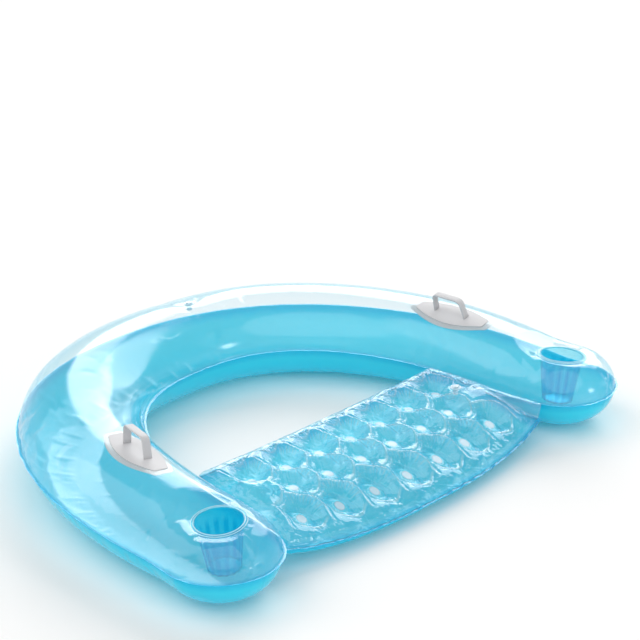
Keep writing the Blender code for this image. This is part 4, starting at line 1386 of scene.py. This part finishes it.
# The film's tint seen edge on, also used as painted shade at welds and in the seat's creases
CLEAR_EDGE = (0.40, 0.86, 0.97)
MOULDED_CLEAR = (0.90, 0.97, 0.99, 1.0)
GLOSS_ROUGHNESS = 0.15
SHEEN_POWER = 5.0
FILM_VEIL = 0.055
# Whitening by the dot mark: partly the weld dots' own haze and partly painted highlight, and
# painted highlight on the seat's crests
DOT_HAZE_AND_HIGHLIGHT = 0.50
GLOW_SHARE = 0.18
# Share of the painted highlight on the cup rims' beads
BEAD_HIGHLIGHT_SHARE = 0.75
MILK_SHARE = 0.45
FOLDED_LAYERS = 3
# The Mix node's colour sockets: both inputs and the output
MIX_FIRST, MIX_SECOND, MIX_RESULT = 6, 7, 2


class Nodes:
    """Short calls for building the nodes of a material or a world."""

    def __init__(self, owner, out="OutputMaterial"):
        self.owner = owner
        owner.use_nodes = True
        self.tree = owner.node_tree
        self.tree.nodes.clear()
        self.out = self.add(out)

    def add(self, kind, values=None, links=None, **settings):
        made = self.tree.nodes.new("ShaderNode" + kind)
        for key, value in settings.items():
            setattr(made, key, value)
        for key, value in (values or {}).items():
            made.inputs[key].default_value = value
        for key, source in (links or {}).items():
            self.tree.links.new(source, made.inputs[key])
        return made

    def math(self, operation, values, links):
        return self.add("Math", values, links, operation=operation).outputs[0]

    def scaled(self, source, factor, added=0.0):
        return self.math("MULTIPLY_ADD", {1: factor, 2: added}, {0: source})

    def power(self, source, exponent):
        return self.math("POWER", {1: exponent}, {0: source})

    def greater(self, first, second):
        return self.math("MAXIMUM", {}, {0: first, 1: second})

    def mark(self, name):
        """A mark that the piece's mesh carries, from 0 to 1."""
        return self.add("Attribute", attribute_name=name).outputs["Fac"]

    def turned(self, blend=0.5):
        """How far the surface turns away from the eye, for gloss and film."""
        return self.add("LayerWeight", {"Blend": blend}).outputs["Facing"]

    def mix(self, share, first, second):
        links = {1: first.outputs[0], 2: second.outputs[0]}
        if isinstance(share, float):
            return self.add("MixShader", {0: share}, links)
        links[0] = share
        return self.add("MixShader", {}, links)

    def colours(self, share, first, second):
        """The colour of a shader that goes from the first to the second."""
        ends = {MIX_FIRST: (*first, 1.0), MIX_SECOND: (*second, 1.0)}
        made = self.add("Mix", ends, {0: share}, data_type="RGBA")
        return {"Color": made.outputs[MIX_RESULT]}

    def ripple(self, scale, strength, distance):
        """Fine unevenness that every vinyl sheet has, as a bump."""
        place = self.add("TexCoord")
        wave = self.add(
            "TexNoise", {"Scale": scale, "Detail": 2.0, "Roughness": 0.45},
            {"Vector": place.outputs["Object"]})
        bump = self.add(
            "Bump", {"Strength": strength, "Distance": distance},
            {"Height": wave.outputs["Fac"]})
        return {"Normal": bump.outputs["Normal"]}

    def sheen(self, straight, normal):
        """Share of light that a thin film mirrors, more where it turns away."""
        turned = self.add("LayerWeight", {"Blend": 0.5}, normal).outputs["Facing"]
        return self.scaled(self.power(turned, SHEEN_POWER), 1.0 - straight, straight)

    def glossed(self, film, normal, straight):
        """The film under its glossy surface."""
        gloss = self.add("BsdfGlossy", {"Color": WHITE, "Roughness": GLOSS_ROUGHNESS}, normal)
        return self.show(self.mix(self.sheen(straight, normal), film, gloss))

    def show(self, shader):
        self.tree.links.new(shader.outputs[0], self.out.inputs["Surface"])
        return self.owner


def finish_named(name, make, **details):
    """The finish of that name, made once."""
    found = bpy.data.materials.get(name)
    return found or make(Nodes(bpy.data.materials.new(name)), **details)


def clear_film(nodes):
    """Clear, glossy sheet: see-through, with a bright sheen where it turns away."""
    normal = nodes.ripple(scale=14.0, strength=0.20, distance=0.002)
    # The edge mark deepens the tint on welds, partly as painted shade, and is painted shade in the
    # seat's grooves
    thick = nodes.greater(nodes.power(nodes.turned(), 3.0), nodes.mark("edge"))
    see = nodes.add("BsdfTransparent", {}, nodes.colours(thick, CLEAR_FACE, CLEAR_EDGE))
    haze = nodes.add("BsdfDiffuse", {"Color": CLEAR_HAZE})
    # The dot mark whitens the film: on the weld dots partly painted highlight, on the seat's crests
    # painted highlight
    haze_and_highlight = nodes.scaled(nodes.mark("dot"), DOT_HAZE_AND_HIGHLIGHT, FILM_VEIL)
    return nodes.glossed(nodes.mix(haze_and_highlight, see, haze), normal, straight=0.060)


def blue_film(nodes, opaque, lighter=0.0, clearer=0.0, turned_share=0.75):
    """Tinted, glossy vinyl that glows where light comes through it."""
    finish = bpy.context.scene.poolchair_finish
    normal = nodes.ripple(scale=16.0, strength=0.22, distance=0.002)
    grazing = nodes.scaled(nodes.turned(blend=0.35), turned_share)
    # The weld mark deepens the blue: at welds, and as painted shade beside the seams and on every
    # second flute side
    deep_and_painted_shade = nodes.greater(nodes.mark("weld"), grazing)
    blue, deep = ([value + (1.0 - value) * lighter for value in paint]
                  for paint in (finish.blue, finish.deep))
    tint = [value + (1.0 - value) * clearer for value in finish.tint]
    painted = nodes.colours(deep_and_painted_shade, blue, deep)
    folded = [value ** FOLDED_LAYERS for value in tint]
    see = nodes.add("BsdfTransparent", {}, nodes.colours(deep_and_painted_shade, tint, folded))
    painted_highlight = nodes.add("BsdfDiffuse", {"Color": BEAD_HIGHLIGHT_BLUE})
    body = nodes.add("BsdfDiffuse", {}, painted)
    glow = nodes.add("BsdfTranslucent", {}, painted)
    film = nodes.mix(opaque, see, nodes.mix(GLOW_SHARE, body, glow))
    # Painted highlight: the bead mark pales the cup rims' bead crests
    film = nodes.mix(nodes.scaled(nodes.mark("painted_bead_highlight"), BEAD_HIGHLIGHT_SHARE), film, painted_highlight)
    return nodes.glossed(film, normal, straight=0.030)


def moulded_white(nodes):
    """Moulded soft vinyl with a fine grain."""
    white = (*bpy.context.scene.poolchair_finish.white, 1.0)
    return nodes.show(nodes.add(
        "BsdfPrincipled", {"Base Color": white, "Roughness": 0.52},
        nodes.ripple(scale=620.0, strength=0.12, distance=0.0004)))


def moulded_clear(nodes):
    """Clear soft moulding, a little milky, with a fine grain."""
    normal = nodes.ripple(scale=480.0, strength=0.10, distance=0.0003)
    see = nodes.add("BsdfTransparent", {"Color": MOULDED_CLEAR})
    milk = nodes.add("BsdfDiffuse", {"Color": MILK}, normal)
    return nodes.glossed(nodes.mix(MILK_SHARE, see, milk), normal, straight=0.04)


def clear_vinyl():
    return finish_named("clear_vinyl_film", clear_film)


def blue_vinyl():
    return finish_named("blue_vinyl_film", blue_film, opaque=0.90)


def cup_vinyl():
    return finish_named(
        "cup_vinyl_film", blue_film, opaque=0.12, clearer=0.60, turned_share=0.45)


def cup_rim_vinyl():
    return finish_named(
        "cup_rim_vinyl_film", blue_film, opaque=0.12, lighter=0.30, clearer=0.65)


def white_vinyl():
    return finish_named("white_vinyl_moulding", moulded_white)


def valve_vinyl():
    return finish_named("valve_vinyl_moulding", moulded_clear)


# Studio


class POOLCHAIR_OT_stage(bpy.types.Operator):
    """Set up the floor, the lamps and the camera"""

    bl_idname = "poolchair.stage"
    bl_label = "Studio"

    FLOOR_SIZE = 40.0
    FLOOR_LEVEL = -0.0005
    SKY_ABOVE = 0.28
    SKY_LOW = 0.75
    # Each lamp's name, direction, power and width in degrees
    LAMPS = (
        ("window_left", (-0.36, 0.62, 0.70), 0.80, 50.0),
        ("window_right", (0.66, 0.62, 0.40), 0.82, 28.0),
        ("ceiling", (0.80, 0.20, 0.52), 1.02, 36.0),
        ("front_fill", (-0.35, -0.35, 0.87), 0.95, 70.0),
        ("front_strip", (0.30, -0.88, 0.30), 0.22, 11.0),
    )

    def execute(self, context):
        self.floor(context)
        self.sky(context)
        for lamp in self.LAMPS:
            self.lamp(*lamp)
        self.camera(context, context.scene.poolchair_studio)
        context.scene.view_settings.view_transform = "Standard"
        context.scene.cycles.transparent_max_bounces = 32
        return {"FINISHED"}

    def floor(self, context):
        body = bmesh.new()
        bmesh.ops.create_grid(body, x_segments=2, y_segments=2, size=self.FLOOR_SIZE / 2)
        mesh = bpy.data.meshes.new("studio_floor")
        body.to_mesh(mesh)
        body.free()
        piece = bpy.data.objects.new("studio_floor", mesh)
        context.scene.collection.objects.link(piece)
        piece.location.z = self.FLOOR_LEVEL
        nodes = Nodes(bpy.data.materials.new("studio_floor_paint"))
        paint = (*context.scene.poolchair_finish.floor, 1.0)
        mesh.materials.append(nodes.show(nodes.add("BsdfDiffuse", {"Color": paint})))

    def sky(self, context):
        """Plain light, brighter low down, and white where the camera sees it."""
        context.scene.world = bpy.data.worlds.new("studio_light")
        nodes = Nodes(context.scene.world, "OutputWorld")
        place = nodes.add("TexCoord")
        height = nodes.add("SeparateXYZ", {}, {0: place.outputs["Generated"]})
        fade = nodes.add(
            "MapRange", {"From Min": 0.10, "From Max": 0.40, "To Min": self.SKY_LOW,
                         "To Max": self.SKY_ABOVE}, {"Value": height.outputs["Z"]})
        path = nodes.add("LightPath")
        seen = nodes.greater(path.outputs["Is Camera Ray"], fade.outputs["Result"])
        nodes.show(nodes.add("Background", {"Color": WHITE}, {"Strength": seen}))

    def lamp(self, name, toward, power, spread):
        """A far soft window in a direction, its width in degrees."""
        light = bpy.data.lights.new(name, "SUN")
        light.energy = power
        light.angle = math.radians(spread)
        made = bpy.data.objects.new(name, light)
        bpy.context.scene.collection.objects.link(made)
        made.rotation_euler = Vector(toward).to_track_quat("Z", "Y").to_euler()

    def camera(self, context, settings):
        lens = bpy.data.cameras.new("photo_view")
        lens.sensor_width = 36.0
        lens.lens = settings.lens
        made = bpy.data.objects.new("photo_view", lens)
        context.scene.collection.objects.link(made)
        made.location = settings.eye
        sight = Vector(settings.aim) - Vector(settings.eye)
        turn = sight.to_track_quat("-Z", "Y").to_matrix().to_4x4()
        turn = turn @ Matrix.Rotation(settings.roll, 4, "Z")
        made.rotation_euler = turn.to_euler()
        context.scene.camera = made


# Add-on


def tube_of(context):
    return Tube(context.scene.poolchair_tube, context.scene.poolchair_cup)


GROUPS = (
    ("poolchair_tube", TubeSettings),
    ("poolchair_seat", SeatSettings),
    ("poolchair_cup", CupSettings),
    ("poolchair_handle", HandleSettings),
    ("poolchair_finish", FinishSettings),
    ("poolchair_studio", StudioSettings),
)
OPERATORS = (
    POOLCHAIR_OT_ring,
    POOLCHAIR_OT_seat,
    POOLCHAIR_OT_cups,
    POOLCHAIR_OT_handles,
    POOLCHAIR_OT_valves,
    POOLCHAIR_OT_stage,
)


class POOLCHAIR_PT_panel(bpy.types.Panel):
    """Lists the chair's pieces and settings"""

    bl_idname = "POOLCHAIR_PT_panel"
    bl_label = "Pool chair"
    bl_space_type = "VIEW_3D"
    bl_region_type = "UI"
    bl_category = "Pool chair"

    def draw(self, context):
        for operator in OPERATORS:
            self.layout.operator(operator.bl_idname)
        for name, group in GROUPS:
            box = self.layout.box()
            for key in group.__annotations__:
                box.prop(getattr(context.scene, name), key)


def register():
    for name, group in GROUPS:
        bpy.utils.register_class(group)
        setattr(bpy.types.Scene, name, bpy.props.PointerProperty(type=group))
    for operator in OPERATORS:
        bpy.utils.register_class(operator)
    bpy.utils.register_class(POOLCHAIR_PT_panel)


def unregister():
    bpy.utils.unregister_class(POOLCHAIR_PT_panel)
    for operator in reversed(OPERATORS):
        bpy.utils.unregister_class(operator)
    for name, group in reversed(GROUPS):
        delattr(bpy.types.Scene, name)
        bpy.utils.unregister_class(group)


def main():
    register()
    bpy.ops.poolchair.ring()
    bpy.ops.poolchair.seat()
    bpy.ops.poolchair.cups()
    bpy.ops.poolchair.handles()
    bpy.ops.poolchair.valves()
    bpy.ops.poolchair.stage()


if __name__ == "__main__":
    main()
